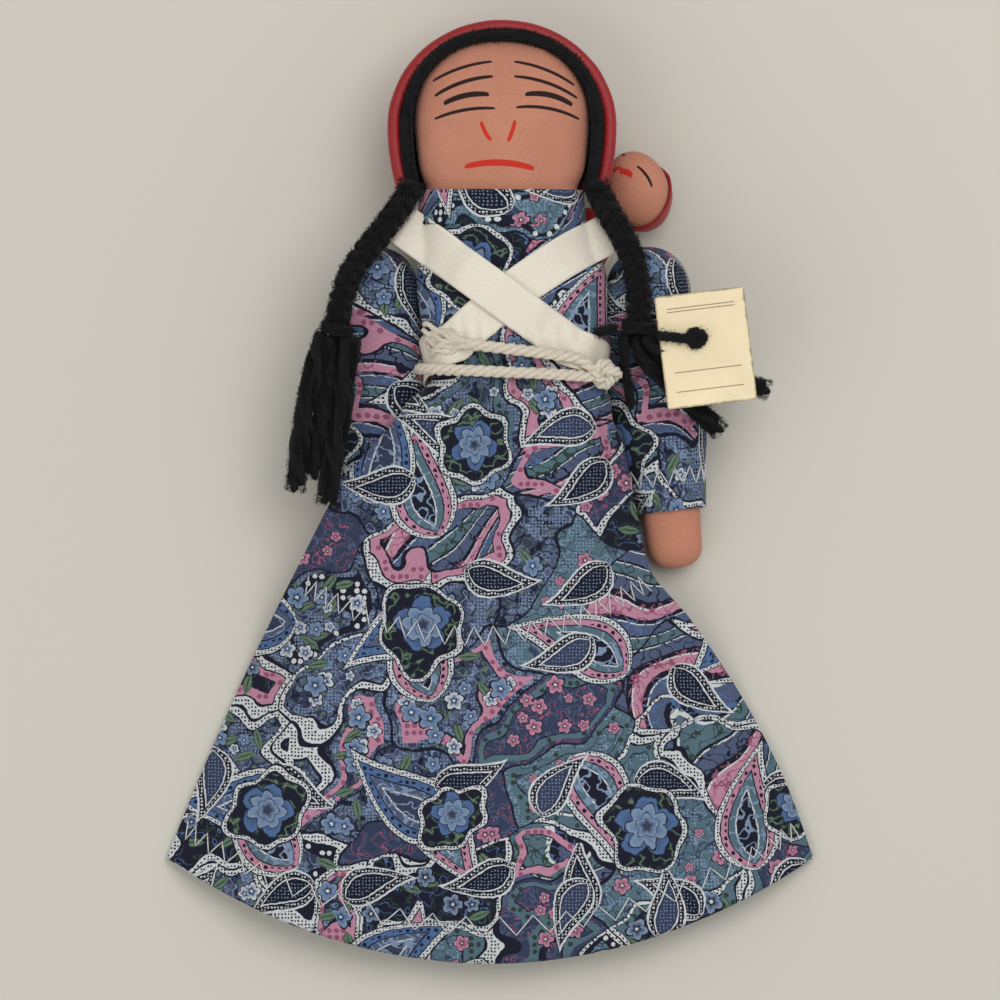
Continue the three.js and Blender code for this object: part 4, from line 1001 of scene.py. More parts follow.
bagPiece("torsoStuffing", torsoBag, skinCotton, "torso", ["torso_cloth", "torso_filling"], "skin_cotton")
for side in ("left", "right"):
    shoulder = shoulderPlace(side)
    bagPiece(side + "Arm", armBag, skinCotton, side + "_arm", [side + "_arm_cloth", side + "_arm_filling"],
             "skin_cotton", shoulder, 40, 60)
    sleeve = bagPiece(side + "Sleeve", sleeves[side], printCotton, side + "_arm", [side + "_sleeve"],
                      "printed_cotton", shoulder, 60, 70, folds["wall"])
    bagPiece(side + "Leg", legBag, skinCotton, side + "_leg", [side + "_leg_cloth", side + "_leg_filling"],
             "skin_cotton", Matrix.Translation(hips[side]), 36, 60)
print("limbs stuffed")


# the face is drawn in ink on its own finish, each stroke by its start, middle and end in the camera's pixels

faceLook = {"middle": (490, 495.5), "spread": 1.22,  # the frame's origin in pixels, and how far ink spreads
            "dark": screenColour(44, 30, 30), "red": screenColour(196, 52, 40)}
face = {
    "dark": [((433, 83), (462, 70), (492, 64), 2.6), ((435, 98), (462, 85), (493, 79), 3.2),
             ((444, 106), (466, 98), (489, 97), 4.6), ((435, 121), (462, 113), (495, 111), 2.8),
             ((514, 64), (543, 71), (574, 87), 2.6), ((514, 79), (543, 84), (577, 100), 2.8),
             ((525, 97), (547, 97), (572, 107), 4.6), ((516, 110), (549, 111), (579, 121), 2.8)],
    "red": [((481, 124), (485, 134), (491, 143), 3.4), ((515, 123), (512, 134), (508, 144), 3.4),
            ((465, 169), (500, 165), (534, 171), 5.4)],
}
babyFaceInk = {
    "dark": [((637, 166), (646, 175), (652, 187), 2.4), ((616, 154), (620, 153), (625, 155), 2.2)],
    "red": [((613, 172), (618, 168), (622, 168), 3.4), ((620, 171), (626, 172), (632, 176), 5.2)],
}


def faceSpot(px, py):
    middleX, middleY = faceLook["middle"]
    return Vector(((px - middleX) * shot["pixel"], (middleY - py) * shot["pixel"], 0)) * mm


def inkArc(tree, place, start, middle, end, width):
    a, b, c = (faceSpot(*p) for p in (start, middle, end))
    chord = c - a
    side = Vector((-chord.y, chord.x, 0)).normalized()
    rise = (b - (a + c) / 2).dot(side)
    rise = math.copysign(max(abs(rise), 1e-5), rise)  # no stroke is quite straight
    radius = (chord.length ** 2 / 4 + rise ** 2) / (2 * abs(rise))
    centre = (a + c) / 2 + side * (rise - math.copysign(radius, rise))
    return placeGroup(tree, inkStroke, Vector=place, Centre=centre, Radius=radius, Start=a,
                      Chord=chord / chord.length_squared, Middle=b, Span=0.6 * chord.length,
                      Width=faceLook["spread"] * width * shot["pixel"] * mm / 2)["Mask"]


def faceFinish(name, drawing):
    material, tree, shader = wovenFinish(name, **skinLook)
    colour = shader.inputs["Base Color"].links[0].from_socket
    place = objectPlace(tree)
    front = tree.nodes.new("ShaderNodeSeparateXYZ")
    feed(tree, front.inputs[0], tree.nodes.new("ShaderNodeTexCoord").outputs["Normal"])
    facing = calc(tree, "GREATER_THAN", front.outputs[2], 0.05)
    for ink, strokes in drawing.items():
        mask = None
        for stroke in strokes:
            arc = inkArc(tree, place, *stroke)
            mask = arc if mask is None else calc(tree, "MAXIMUM", mask, arc)
        colour = colourMix(tree, calc(tree, "MULTIPLY", mask, facing), colour, faceLook[ink])
    feed(tree, shader.inputs["Base Color"], colour)
    return material


bagPiece("head", headBag, faceFinish("faceCotton", face), "head", ["head_cloth", "head_filling"],
         "skin_cotton", None, 64, 72)
print("head stuffed")


# hood, with a turned hem round the face

hoodShape = {"half": 36.0, "topY": 145.9, "browY": 114, "lowerY": 94.5, "rimZ": 30, "depth": 33, "roundZ": 27,
             "sides": 0.16, "rimDraw": 2.6, "jawDraw": 5.6, "hem": 1.15, "wallShare": 0.6, "backY": 104,
             "gathers": 58, "gatherDepth": 0.75, "ease": 0.6}
hairMat = {"inset": 1.8, "rimZ": 27.5, "lowerY": 98.1}


def archPoint(u, half, topY, lowerY, z):  # from the doll's left jaw over the top to its right jaw
    rim = hoodShape["rimDraw"] * ramp(hoodShape["rimZ"] - 10, hoodShape["rimZ"], z)
    straight = hoodShape["sides"]
    browY = hoodShape["browY"]
    side = min(u, 1 - u)
    if side < straight:
        y = mix(lowerY, browY, side / straight)
        down = (browY - y) / (browY - hoodShape["lowerY"])
        x = half - rim - (hoodShape["jawDraw"] - rim) * down * down
        return Vector((build["headX"] + math.copysign(x, 0.5 - u), y, z))
    angle = math.pi * (u - straight) / (1 - 2 * straight)
    return Vector((build["headX"] + (half - rim) * math.cos(angle),
                   browY + (topY - 0.35 * rim - browY) * math.sin(angle), z))


def hoodPlace(inset, rimZ, lowerY):  # a wall from the rim down, then a back drawn together
    wall = hoodShape["wallShare"]

    def wallPoint(u, z):
        swell = math.sqrt(1 - (max(0, hoodShape["roundZ"] - (z - inset)) / hoodShape["depth"]) ** 2)
        return archPoint(u, hoodShape["half"] * swell - inset,
                         mix(hoodShape["browY"], hoodShape["topY"], swell) - inset, lowerY, z)

    def place(u, v):
        if v < wall:
            spot = wallPoint(u, mix(rimZ, inset, v / wall))
        else:
            rim = wallPoint(u, inset)
            back = Vector((build["headX"], min(rim.y, hoodShape["backY"]), inset))
            spot = rim.lerp(back, (v - wall) / (1 - wall))
        ease = hoodShape["ease"] * hump(0.35, 0.35, v)
        wave = math.sin(hoodShape["gathers"] * u + 5 * wrinkle(9 * u, 3 * v, 1, 2))
        gather = hoodShape["gatherDepth"] * hump(0.52, 0.4, v) * (0.5 + 0.5 * wave)
        off = spot.x - build["headX"]
        outward = math.copysign(min(1, abs(off) / 9), off)
        spot.x -= (gather + ease * wrinkle(spot.x, spot.y, spot.z, 11)) * outward
        spot.y -= gather * ramp(100, 130, spot.y) + ease * wrinkle(spot.x + 40, spot.y, spot.z, 11)
        return spot
    return place


hoodAt = hoodPlace(0, hoodShape["rimZ"], hoodShape["lowerY"])
bm = bmesh.new()
layGrid(bm, 96, 60, hoodAt, lambda u, v: (u * 150, v * 62))
hemRows = 72
hemFrames = pathFrames([hoodAt(i / hemRows, 0) for i in range(hemRows + 1)])


def hemPlace(u, v):  # the turned edge, rolled a little towards the hair
    spot, along, side, upper = hemFrames[round(v * hemRows)]
    size = hoodShape["hem"] * (1 + 0.12 * wrinkle(spot.x, spot.y, 2, 5))
    return around(spot, side, up, fullTurn * u, size)


layGrid(bm, 12, hemRows, hemPlace, lambda u, v: (u * 8, v * 150), closed=True)
hood = finishPiece(bm, "hoodCloth", redCotton, "head", ["hood"], "red_cotton", wall=0.9, facing=-up)
gridPiece(60, 30, hoodPlace(**hairMat), lambda u, v: (u * 140, v * 50), "hairMat", blackYarn, "head",
          ["hair_mat"], "black_yarn", wall=1.2, facing=-up)


# yarn and cord: a lobed tube that twists along its path

def yarnTube(bm, path, radius, plies, pitch, depth, sides, step=0.7):
    rows = max(6, int(pathLength(path) / step))
    frames = pathFrames(smoothPath(path, rows + 1))
    length = pathLength([f[0] for f in frames])

    def place(u, v):
        spot, along, side, upper = frames[round(v * rows)]
        turn = fullTurn * u
        lay = fullTurn * v * length / pitch
        lobe = 1 - depth + depth * abs(math.cos(plies * (turn - lay) / 2))
        return around(spot, side, upper, turn, radius(v) * lobe)
    layGrid(bm, sides, rows, place, lambda u, v: (u * fullTurn * radius(0.5), v * length), closed=True)
    closeEnds(bm)


def roundEnds(size, length, start, end):
    def radius(v):
        a = min(1, v * length / start) if start else 1
        b = min(1, (1 - v) * length / end) if end else 1
        return max(0.05, size * math.sqrt(max(0, 1 - (1 - a) ** 2)) * math.sqrt(max(0, 1 - (1 - b) ** 2)))
    return radius


yarnTwist = {"plies": 3, "pitch": 5.0, "depth": 0.3}
hairRoll = {"z": 31.7, "side": 29.4, "topY": 142.4, "browY": 114, "endY": 93.4, "end": 0.14 * math.pi,
            "blunt": 2.2, "rows": 48, "strands": 8, "radius": 1.0, "turns": 0.8, "yarn": 1.05, "length": 160}
rollPath = []
for i in range(hairRoll["rows"] + 1):
    angle = mix(-hairRoll["end"], math.pi + hairRoll["end"], i / hairRoll["rows"])
    c, s = math.cos(angle), math.sin(angle)
    if s > 0:
        c, s = squared(c, 2 / hairRoll["blunt"]), squared(s, 2 / hairRoll["blunt"])
        lift = hairRoll["topY"] - hairRoll["browY"]
    else:
        lift = (hairRoll["browY"] - hairRoll["endY"]) / math.sin(hairRoll["end"])
    rollPath.append(Vector((build["headX"] + hairRoll["side"] * c, hairRoll["browY"] + lift * s,
                            hairRoll["z"])))
bm = bmesh.new()
rollFrames = pathFrames(rollPath)
for k in range(hairRoll["strands"]):
    strand = []
    for i, (spot, along, side, upper) in enumerate(rollFrames):
        turn = fullTurn * (k / hairRoll["strands"] + hairRoll["turns"] * i / hairRoll["rows"])
        turn += 0.9 * wrinkle(i * 2.0, k * 9.0, 0, 9)
        size = hairRoll["radius"] * (1 + 0.35 * wrinkle(i * 1.5, k * 7.0, 4, 6))
        strand.append(around(spot, side, upper, turn, size))
    yarnTube(bm, strand, roundEnds(hairRoll["yarn"], hairRoll["length"], 2, 2), sides=9, **yarnTwist)
finishPiece(bm, "hairRoll", blackYarn, "head", ["hair_roll"], "black_yarn")

braidPaths = {
    "left": [(32.2, 97.2, 38.5), (33.4, 93.5, 38.2), (36, 88.4, 40.6), (39.4, 82.4, 41.6), (43, 75.6, 41.6),
             (45.2, 67.6, 40.6), (46, 59, 38.6), (45.6, 51, 37.4)],
    "right": [(-23.8, 97.2, 38.4), (-25, 93.5, 38.1), (-28, 88.4, 40.5), (-32.4, 82.4, 41.4), (-37.4, 76, 41.4),
              (-42.4, 69, 40.8), (-45.8, 60, 39.2), (-47.4, 50.4, 37.5)],
}
tailPaths = {
    "left": [[(48.6, 50.2, 38.4), (54, 44, 36.2), (63, 38.8, 34), (86.6, 32.4, 30)],
             [(45.2, 50, 34.4), (48, 42.6, 33.4), (56, 34.4, 31.5), (71.6, 19.4, 27.6)]],
    "right": [[(-50.6, 50.2, 38.6), (-54.6, 38, 34.6), (-57.8, 22, 30), (-60.4, 1, 25.6)],
              [(-46.6, 49.9, 35), (-49.4, 37, 32.4), (-52.4, 20, 28.4), (-54.8, 5, 25.8)],
              [(-42.8, 48.9, 38.8), (-44.6, 37.4, 35), (-46.8, 20, 31), (-51, -3, 26.4)]],
}
plait = {"wide": 2.0, "deep": 1.4, "crossings": 4.5, "rows": 120, "yarns": 5, "spread": 1.05, "twist": 1.7,
         "yarn": 1.15, "length": 60}
tailShape = {"rows": 60, "yarns": 7, "spread": 2.05, "twist": 0.9, "yarn": 1.3, "length": 50}
tieShape = {"turns": 2.5, "rows": 60, "ring": 4.1, "start": 2.3, "run": 2.2, "yarn": 0.95}
fuzzShape = {"thick": 0.075, "rise": 1.4, "across": 1.3, "along": 1.8, "root": 0.88}


def plaitYarn(path, k, n):  # one of the yarns in strand k of the plait
    strand = []
    for i, (spot, along, side, upper) in enumerate(pathFrames(smoothPath(path, plait["rows"] + 1))):
        v = i / plait["rows"]
        turn = fullTurn * (plait["crossings"] * v + k / 3)
        draw = min(1, v / 0.06, (1 - v) / 0.08)
        twist = fullTurn * (n / plait["yarns"] + plait["twist"] * v)
        twist += 1.2 * wrinkle(v * 9, k * 5.0, n * 3.0, 1.5)
        loose = plait["spread"] * (1 + 0.4 * wrinkle(v * 14, n * 4.0, k * 6.0, 1.5))
        strand.append(spot + side * (plait["wide"] * draw * math.sin(turn) + loose * math.cos(twist))
                      + upper * (plait["deep"] * draw * math.sin(2 * turn) + loose * math.sin(twist)))
    return strand


def tailYarn(path, n, seed):  # the last yarn is the middle one, and the others end a little unevenly
    yarn = []
    ring = tailShape["yarns"] - 1
    stop = 1 if n == ring else 1 - 0.07 * ((3 * n + seed) % 4) / 3
    for i, (spot, along, side, upper) in enumerate(pathFrames(smoothPath(path, tailShape["rows"] + 1))):
        v = i / tailShape["rows"]
        if v > stop:
            break
        twist = fullTurn * (n / ring + tailShape["twist"] * v) + 1.6 * wrinkle(v * 7, n * 5.0, seed, 1.5)
        loose = 0 if n == ring else tailShape["spread"] * (1 + 0.35 * wrinkle(v * 9, n * 3.0, seed, 1.5))
        yarn.append(around(spot, side, upper, twist, loose))
    return yarn


def layHairs(bm, hairs, thick):  # every hair is three rows of one grid, parted from the next
    rows = 3 * len(hairs) - 1
    sizes = (thick, 0.8 * thick, 0.3 * thick)

    def place(u, v):
        row = round(v * rows)
        hair = hairs[row // 3]
        along = (hair[2] - hair[0]).normalized()
        side = along.cross(Vector((0.36, 0.48, 0.8))).normalized()
        return around(hair[row % 3], side, along.cross(side), fullTurn * round(3 * u) / 3, sizes[row % 3])
    layGrid(bm, 3, rows, place, lambda u, v: (u, v * rows))
    cutLayer = bm.loops.layers.uv.verify()
    parting = [f for f in bm.faces if round(min(c[cutLayer].uv.y for c in f.loops) / mm) % 3 == 2]
    bmesh.ops.delete(bm, geom=parting, context="FACES")
    bmesh.ops.remove_doubles(bm, verts=bm.verts, dist=2e-6)


def yarnFuzz(name, paths, radius, density, seed, body):  # stray hairs on the yarn, so many to a millimetre
    rng = random.Random(seed)
    hairs = []
    spots = 90
    for path in paths:
        frames = pathFrames(smoothPath(path, spots))
        for n in range(int(density * pathLength(path))):
            spot, along, side, upper = frames[rng.randrange(1, spots - 1)]
            turn = rng.uniform(0, fullTurn)
            out = side * math.cos(turn) + upper * math.sin(turn)
            lie = (along.cross(out) * rng.uniform(-fuzzShape["across"], fuzzShape["across"])
                   + along * rng.uniform(-fuzzShape["along"], fuzzShape["along"]))
            rise = fuzzShape["rise"] * rng.uniform(0.15, 1.0) ** 2
            root = spot + out * (fuzzShape["root"] * radius) - 0.5 * lie
            hairs.append((root, root + 0.5 * lie + out * (0.9 * rise), root + lie + out * (0.7 * rise)))
    bm = bmesh.new()
    layHairs(bm, hairs, fuzzShape["thick"])
    return finishPiece(bm, name, blackYarn, body, (), "black_yarn")


for side, braidSeed in (("left", 5), ("right", 6)):
    body = side + "_braid"
    path = braidPaths[side]
    bm = bmesh.new()
    for k in range(3):
        for n in range(plait["yarns"]):
            yarnTube(bm, plaitYarn(path, k, n), roundEnds(plait["yarn"], plait["length"], 2, 2), sides=8,
                     **yarnTwist)
    finishPiece(bm, side + "Braid", blackYarn, body, [side + "_braid"], "black_yarn")
    yarnFuzz(side + "BraidFuzz", [path], 4.0, 60, braidSeed, body)
    # a few turns of yarn tie the braid's end
    end = Vector(path[-1])
    way = (end - Vector(path[-2])).normalized()
    across = way.cross(up).normalized()
    turns = []
    for i in range(tieShape["rows"] + 1):
        share = i / tieShape["rows"]
        spot = end - way * (tieShape["start"] - tieShape["run"] * share)
        turns.append(around(spot, across, across.cross(way), fullTurn * tieShape["turns"] * share,
                            tieShape["ring"]))
    bm = bmesh.new()
    yarnTube(bm, turns, lambda v: tieShape["yarn"], 3, 4.0, 0.25, 9)
    finishPiece(bm, side + "Tie", blackYarn, body, [side + "_tie"], "black_yarn")
    yarnFuzz(side + "TieFuzz", [turns], 0.9, 14, 8, body)
    for i, tail in enumerate(tailPaths[side]):
        bm = bmesh.new()
        for n in range(tailShape["yarns"]):
            yarnTube(bm, tailYarn(tail, n, i + 2), roundEnds(tailShape["yarn"], tailShape["length"], 1.5, 2.5),
                     sides=8, **yarnTwist)
        strand = finishPiece(bm, f"{side}Tail{i + 1}", blackYarn, body, [f"{side}_tail_{i + 1}"], "black_yarn")
        fuzz = yarnFuzz(f"{side}TailFuzz{i + 1}", [tail], 3.0, 64, 11 + i, body)
        spots = smoothPath(tail, 25)[:-1]  # points along the tail, stopping short of its end where the yarns begin to part
        pathLength(spots) * mm
        [p * mm for p in spots]
yarnFuzz("hairFuzz", [rollPath], 1.9, 26, 3, "head")
tieEnds = {"yarn": 1.5, "paths": [[(39.3, 52, 37.8), (36, 50.8, 38.4), (31.6, 50, 38.8)],
                                  [(40.6, 50.4, 37.4), (41.4, 42, 34.4), (42.6, 34, 31.6), (43.8, 26.4, 29.4)]]}
for i, path in enumerate(tieEnds["paths"]):
    bm = bmesh.new()
    length = pathLength(smoothPath(path, 20))
    yarnTube(bm, path, roundEnds(tieEnds["yarn"], length, 1.5, 3), 3, 6.0, 0.25, 12)
    finishPiece(bm, f"tieEnd{i + 1}", blackYarn, "left_braid", [f"tie_end_{i + 1}"], "black_yarn")
yarnFuzz("tieEndFuzz", tieEnds["paths"], tieEnds["yarn"], 22, 21, "left_braid")
print("braids made")


# collar band

collarShape = {"half": 25.4, "deep": 16.5, "lowY": 83.5, "highY": 94.2, "square": 2.3, "lean": 0.03,
               "girth": 150}


def collarPlace(u, v):
    angle = fullTurn * u
    c, s = math.cos(angle), math.sin(angle)
    power = 2 / collarShape["square"]
    lean = 1 + 0.012 * wrinkle(8 * c, 8 * s, v * 3, 3) + collarShape["lean"] * (1 - v)
    return Vector((build["headX"] + collarShape["half"] * lean * squared(c, power),
                   mix(collarShape["lowY"], collarShape["highY"], v) + 0.3 * wrinkle(9 * c, 9 * s, 0, 4),
                   build["torsoZ"] + collarShape["deep"] * lean * squared(s, power)))


def collarCut(u, v):  # the print runs on from the dress's front
    return (build["headX"] + printShift["front"] - (u - 0.25) * collarShape["girth"],
            mix(collarShape["lowY"], collarShape["highY"], v) + printShift["front"])


collar = gridPiece(96, 8, collarPlace, collarCut, "collarBand", printCotton, "torso", ["collar"],
                   "printed_cotton", closed=True, wall=0.8)


# ribbon straps, crossed on the chest

strapShape = {"width": 12.7, "thick": 0.6, "off": 1.5, "crestZ": 36.1, "tuckZ": 19.7, "reach": 2.6,
              "clear": 0.95, "crossing": (2.5, 62.5), "lift": 1.2, "liftReach": 19, "turnEnd": 0.15,
              "chestEnd": 0.75, "sideOff": 2.5, "sideRadius": 19.95, "fall": 0.36}
# piece, node, where it comes over the shoulder, where it leaves the chest, its bow, and whether it lies on top
straps = (("strapUnder", "strap_under", (35.6, 80.2, 0), (-11.0, 47.0, 0), -2.3, False),
          ("strapOver", "strap_over", (-25.8, 82.6, 0), (25.0, 45.6, 0), 0, True))


def bodicePoint(angle, y, off):
    return Vector((bodyX(y) + (bodySide(y) + off) * math.cos(angle), y,
                   build["torsoZ"] + (build["bodiceHalf"] + off) * math.sin(angle)))


def chestAngle(x, y, off):
    return math.acos(min(1, max(-1, (x - bodyX(y)) / (bodySide(y) + off))))


def dressHeight(x, y):  # height of the dress's front at a place on the chest
    sideY = y
    for n in range(6):
        share = (x - rightSide(sideY)) / (leftSide(sideY) - rightSide(sideY))
        across = min(1, max(-1, 2 * share - 1))
        length = build["topY"] - build["hemCornerY"] + build["hemDrop"] * (1 - across * across)
        down = min(1, max(0, (build["topY"] - y) / length))
        sideY = mix(build["topY"], build["hemCornerY"], down)
    return dressFront(math.asin(across) / math.pi + 0.5, down).z


def strapPlace(start, stop, bow, onTop):  # over the shoulder, across the chest and round the side
    along = (stop - start).normalized()
    run = (stop - start).length
    across = Vector((-along.y, along.x, 0))
    off, sideOff = strapShape["off"], strapShape["sideOff"]
    turnEnd, chestEnd = strapShape["turnEnd"], strapShape["chestEnd"]
    crossX, crossY = strapShape["crossing"]

    def place(u, v):
        offset = (u - 0.5) * strapShape["width"]
        if v < turnEnd:
            angle = mix(-0.5, 0.5, v / turnEnd) * math.pi
            spot = start - along * (strapShape["reach"] * math.cos(angle)) + across * offset
            spot.z = mix(strapShape["tuckZ"], strapShape["crestZ"], 0.5 + 0.5 * math.sin(angle))
            return spot
        share = min(1, (v - turnEnd) / (chestEnd - turnEnd))
        spot = start + along * (run * share) + across * (offset + 4 * bow * share * (1 - share))
        onChest = bodicePoint(chestAngle(spot.x, spot.y, off), spot.y, off).z
        crest = strapShape["crestZ"] if share < 0.5 else 0
        spot.z = max(onChest, crest, dressHeight(spot.x, spot.y) + strapShape["clear"])
        if onTop:
            away = math.hypot(spot.x - crossX, spot.y - crossY)
            spot.z += strapShape["lift"] * (1 - ramp(strapShape["width"], strapShape["liftReach"], away))
        if v <= chestEnd:
            return spot
        first = chestAngle(spot.x, spot.y, sideOff)
        angle = mix(first, -0.1 * math.pi if along.x > 0 else 1.1 * math.pi, (v - chestEnd) / (1 - chestEnd))
        turned = abs(angle - first) * strapShape["sideRadius"]
        wrapped = bodicePoint(angle, spot.y - strapShape["fall"] * turned, sideOff)
        wrapped.z = mix(spot.z, wrapped.z, ramp(chestEnd, 0.84, v))
        return wrapped
    return place


for name, node, start, stop, bow, onTop in straps:
    strap = gridPiece(14, 110, strapPlace(Vector(start), Vector(stop), bow, onTop),
                      lambda u, v: (u * strapShape["width"], v * 110), name, whiteRibbon, "torso", [node],
                      "white_ribbon", wall=strapShape["thick"], facing=up)
print("straps laid")


# belt: a twisted cord with an overhand knot and a frayed end

beltShape = {"radius": 1.8, "pitch": 9.5, "off": 3.7, "y": 36.6, "rise": 2.6, "start": 20, "round": 343,
             "rows": 38}
beltTail = {"y": 41.4, "rise": 5.2, "start": 37, "stop": 119, "off": 4.0, "rows": 16}
frayShape = {"spreads": (-3.6, -2.0, -0.4, 1.2, 2.8, 4.2), "start": 117, "stop": 158, "rows": 12,
             "yarn": (1.1, 0.85)}
knotShape = {"at": 31, "ring": 2.5, "high": 1.25, "tilt": 0.6, "radius": 1.6, "pitch": 7.0, "rows": 72}


def beltPoint(degrees, y, off):
    return bodicePoint(math.radians(degrees), y, off)


def rope(bm, path, radius, pitch, step=0.6):
    rows = int(pathLength(path) / step)
    for k in range(3):
        ply = []
        for i, (spot, along, side, upper) in enumerate(pathFrames(smoothPath(path, rows + 1))):
            ply.append(around(spot, side, upper, fullTurn * (i * step / pitch + k / 3), 0.5 * radius))
        yarnTube(bm, ply, lambda v: 0.56 * radius, 4, 3.2, 0.16, 12)


def ropePiece(path, radius, pitch, name, node, step=0.6):
    bm = bmesh.new()
    rope(bm, path, radius, pitch, step)
    return finishPiece(bm, name, ecruCord, "torso", [node], "cotton_cord")


loopPath = []
for i in range(beltShape["rows"] + 1):
    share = i / beltShape["rows"]
    loopPath.append(beltPoint(beltShape["start"] - beltShape["round"] * share,
                              beltShape["y"] + beltShape["rise"] * math.sin(math.pi * share), beltShape["off"]))
belt = ropePiece(loopPath, beltShape["radius"], beltShape["pitch"], "beltRound", "belt_loop")
pathLength(loopPath) * mm
endPath = []
for i in range(beltTail["rows"] + 1):
    share = i / beltTail["rows"]
    clear = ramp(0, 0.2, share)  # it leaves the knot over the belt
    endPath.append(beltPoint(mix(beltTail["start"], beltTail["stop"], share),
                             mix(beltShape["y"] + 2, beltTail["y"], clear) + beltTail["rise"] * share,
                             beltTail["off"] + 1.2 * (1 - clear)))
beltEnd = ropePiece(endPath, beltShape["radius"], beltShape["pitch"], "beltEnd", "belt_end")
bm = bmesh.new()
for n, spread in enumerate(frayShape["spreads"]):
    ply = []
    for i in range(frayShape["rows"] + 1):
        share = i / frayShape["rows"]
        wave = share * (1.3 * math.sin(11 * share + 2.1 * n) + 0.6 * wrinkle(share * 6, n * 4.0, 2, 1))
        ply.append(beltPoint(mix(frayShape["start"], frayShape["stop"] - 1.6 * abs(spread), share),
                             beltTail["y"] + beltTail["rise"] + mix(0.2, 1, ramp(0, 0.7, share)) * spread + wave
                             + 1.2 * share,
                             beltTail["off"] - 0.9 * share + 0.5 * math.cos(8 * share + n)))
    yarnTube(bm, ply, lambda v: mix(*frayShape["yarn"], v), 3, 3.4, 0.3, 9)
fray = finishPiece(bm, "beltFray", ecruCord, "torso", ["belt_fray"], "cotton_cord")
pathLength(endPath) * mm


def trefoil(ring, inner, high, rows):  # the closed path of an overhand knot
    for i in range(rows + 1):
        t = fullTurn * i / rows
        out = ring * (1 + inner * math.cos(3 * t))
        yield Vector((out * math.cos(2 * t), out * math.sin(2 * t), high * math.sin(3 * t)))


knotCentre = beltPoint(knotShape["at"], beltShape["y"] + 0.8, beltShape["off"] + 2.5)
knotTilt = Matrix.Rotation(knotShape["tilt"], 3, "X")
knotPath = [knotCentre + knotTilt @ p
            for p in trefoil(knotShape["ring"], 0.5, knotShape["high"], knotShape["rows"])]
ropePiece(knotPath, knotShape["radius"], knotShape["pitch"], "beltKnot", "belt_knot", 0.4)
print("belt tied")


# baby in its carrier, under the doll's upper back

bundle = {"path": [(14, 49, 7.9), (16, 60, 7.9), (21, 71, 7.9), (29.6, 80.4, 7.9), (37.4, 87.2, 7.9)],
          "rows": 60, "half": 12.5, "deep": 6.5, "ends": (9, 7),
          "taper": curveThrough((0, 0.9), (0.45, 1), (1, 0.5)),
          "carrierGap": 1.4, "carrierRun": (0.1, 0.86), "carrierTurn": (1.06, 1.94)}
bundleFrames = pathFrames(smoothPath(bundle["path"], bundle["rows"] + 1))
bundleRound = roundEnds(1, pathLength([f[0] for f in bundleFrames]), *bundle["ends"])


def bundlePlace(u, v):
    spot, along, side, upper = bundleFrames[round(v * bundle["rows"])]
    angle = fullTurn * u
    taper = bundle["taper"](v)
    crease = 1 - 0.03 * (1 + wrinkle(spot.x, spot.y + 9 * math.cos(angle), 9 * math.sin(angle), 6))
    size = bundleRound(v) * crease
    return (spot + side * (bundle["half"] * taper * size * math.cos(angle))
            + up * (bundle["deep"] * mix(1, taper, 0.4) * size * math.sin(angle)))


def carrierPlace(u, v):
    i = round(mix(*bundle["carrierRun"], v) * bundle["rows"])
    share = i / bundle["rows"]
    spot, along, side, upper = bundleFrames[i]
    angle = mix(*bundle["carrierTurn"], u) * math.pi
    half = bundle["half"] * bundle["taper"](share) * bundleRound(share) + bundle["carrierGap"]
    deep = bundle["deep"] + bundle["carrierGap"]
    return spot + side * (half * math.cos(angle)) + up * (deep * math.sin(angle))


bm = bmesh.new()
layGrid(bm, 48, bundle["rows"], bundlePlace, lambda u, v: (u * 60, v * 48), closed=True)
closeEnds(bm)
babyBody = finishPiece(bm, "babyBody", redCotton, "torso", ["baby_body"], "red_cotton")
carrier = gridPiece(36, 40, carrierPlace, lambda u, v: (u * 34, v * 38), "carrierCloth", whiteRibbon, "torso",
                    ["carrier"], "white_ribbon", wall=0.8, facing=-up)

babyShape = {"centre": Vector((45.8, 94.9, 12)), "half": (9.7, 12.4, 10), "lean": math.radians(18),
             "face": Vector((-0.5, 0.5, 0.72)).normalized(), "hoodGap": 0.9, "hoodStart": 0.59}
babyLean = Matrix.Rotation(babyShape["lean"], 3, "Z")
turnToFace = up.rotation_difference(babyShape["face"])


def babySpot(out, grow):  # a place on the head in a direction from its middle
    level = babyLean.transposed() @ out
    shares = [o / (h + grow) for o, h in zip(level, babyShape["half"])]
    return babyShape["centre"] + out / math.sqrt(sum(share ** 2 for share in shares))


def ballWay(a, b):
    return Vector((math.sin(b) * math.cos(a), math.sin(b) * math.sin(a), math.cos(b)))


def babyHeadPlace(u, v):
    out = ballWay(fullTurn * u, math.pi * v)
    return babySpot(out, 0.12 * wrinkle(7 * out.x, 7 * out.y, 7 * out.z, 3))


def babyHoodPlace(u, v):
    out = turnToFace @ ballWay(fullTurn * u, math.pi * mix(babyShape["hoodStart"], 1, v))
    rim = 0.3 * hump(0, 0.1, v)
    return babySpot(out, babyShape["hoodGap"] + rim + 0.2 * wrinkle(9 * out.x, 9 * out.y, 9 * out.z, 3))


babyHead = gridPiece(48, 28, babyHeadPlace, lambda u, v: (u * 60, v * 36), "babyHead",
                     faceFinish("babyFaceCotton", babyFaceInk), "torso", ["baby_head"], "skin_cotton",
                     closed=True, smooth=1)
babyHood = gridPiece(60, 24, babyHoodPlace, lambda u, v: (u * 66, v * 17), "babyHood", redCotton, "torso",
                     ["baby_hood"], "red_cotton", closed=True, wall=0.8, facing=-babyShape["face"])
print("baby wrapped")


# tag, with its yarn loop

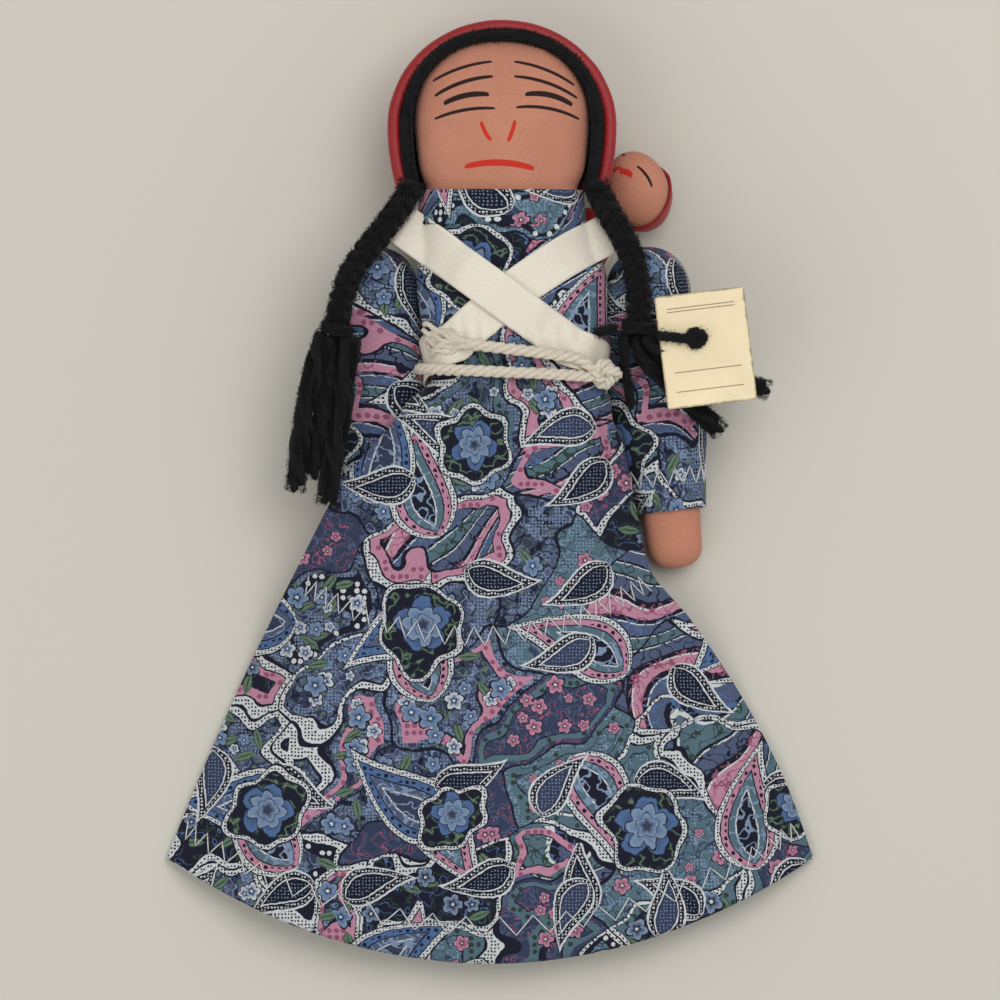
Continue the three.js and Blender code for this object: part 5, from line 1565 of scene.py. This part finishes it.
tagLoop = {"spots": ((-15.2, 5.7, 2.6), (-11, 4.8, 2.6), (-6, 3.6, 2.6), (-3, 3.4, 1.9), (-2.6, 3.4, 0.3)),
           "yarn": 1.6, "length": 14,
           "knot": Vector((-2.6, 3.4, 1.6)), "ring": 1.55, "high": 0.7, "knotYarn": 1.5}
tagPlace = (Matrix.Translation(tagShape["place"]) @ Matrix.Rotation(tagShape["turn"], 4, "Z")
            @ Matrix.Rotation(tagShape["tilt"], 4, "Y"))
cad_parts["paper_tag"].data.materials.clear()
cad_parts["paper_tag"].data.materials.append(cardPaper)
loopSpots = [tagPlace @ Vector(p) for p in tagLoop["spots"]]
knotSpots = [tagPlace @ (tagLoop["knot"] + p) for p in trefoil(tagLoop["ring"], 0.45, tagLoop["high"], 48)]
bm = bmesh.new()
yarnTube(bm, loopSpots, roundEnds(tagLoop["yarn"], tagLoop["length"], 1.2, 0), 3, 6.0, 0.25, 12)
yarnTube(bm, knotSpots, lambda v: tagLoop["knotYarn"], 3, 5.0, 0.25, 12, 0.5)
finishPiece(bm, "tagLoop", blackYarn, "tag", ["tag_loop"], "black_yarn")
yarnFuzz("tagLoopFuzz", [loopSpots, knotSpots], tagLoop["yarn"], 14, 31, "tag")


# zigzag stitching at the hem, across the skirt and at the cuffs

stitch = {"radius": 0.2, "high": 5.4, "wide": 3.4, "lift": 0.3, "points": 4}
skirtRows = (("hemStitch", 8, 0.06, 0.94), ("skirtStitch", 90, 0.12, 0.9))  # up from the hem, start and stop
cuffStitch = {"points": 56, "start": 0.02, "round": 0.46, "from": 0.09, "high": 0.06}


def zigzag(i):
    return abs((i / stitch["points"]) % 2 - 1)


def stitchPiece(name, spots, body):
    rows = len(spots) - 1
    frames = pathFrames(spots)

    def place(u, v):
        spot, along, side, upper = frames[round(v * rows)]
        return around(spot, side, upper, fullTurn * u, stitch["radius"])
    gridPiece(6, rows, place, lambda u, v: (u, v * rows * 3), name, whiteThread, body, (), "printed_cotton",
              closed=True)


for name, fromHem, start, stop in skirtRows:
    count = stitch["points"] * int(200 * (stop - start) / stitch["wide"])
    spots = []
    for i in range(count + 1):
        high = fromHem + stitch["high"] * zigzag(i)
        spots.append(dressFront(mix(start, stop, i / count), 1 - high / 210) + up * stitch["lift"])
    stitchPiece(name, spots, "torso")
for side in ("left", "right"):
    shoulder = shoulderPlace(side)
    spots = []
    for i in range(cuffStitch["points"] + 1):
        spot = bagPlace(sleeves[side], cuffStitch["start"] + cuffStitch["round"] * i / cuffStitch["points"],
                        cuffStitch["from"] + cuffStitch["high"] * zigzag(i))
        spots.append(shoulder @ (spot + up * stitch["lift"]))
    stitchPiece(side + "CuffStitch", spots, side + "_arm")
print("stitched")
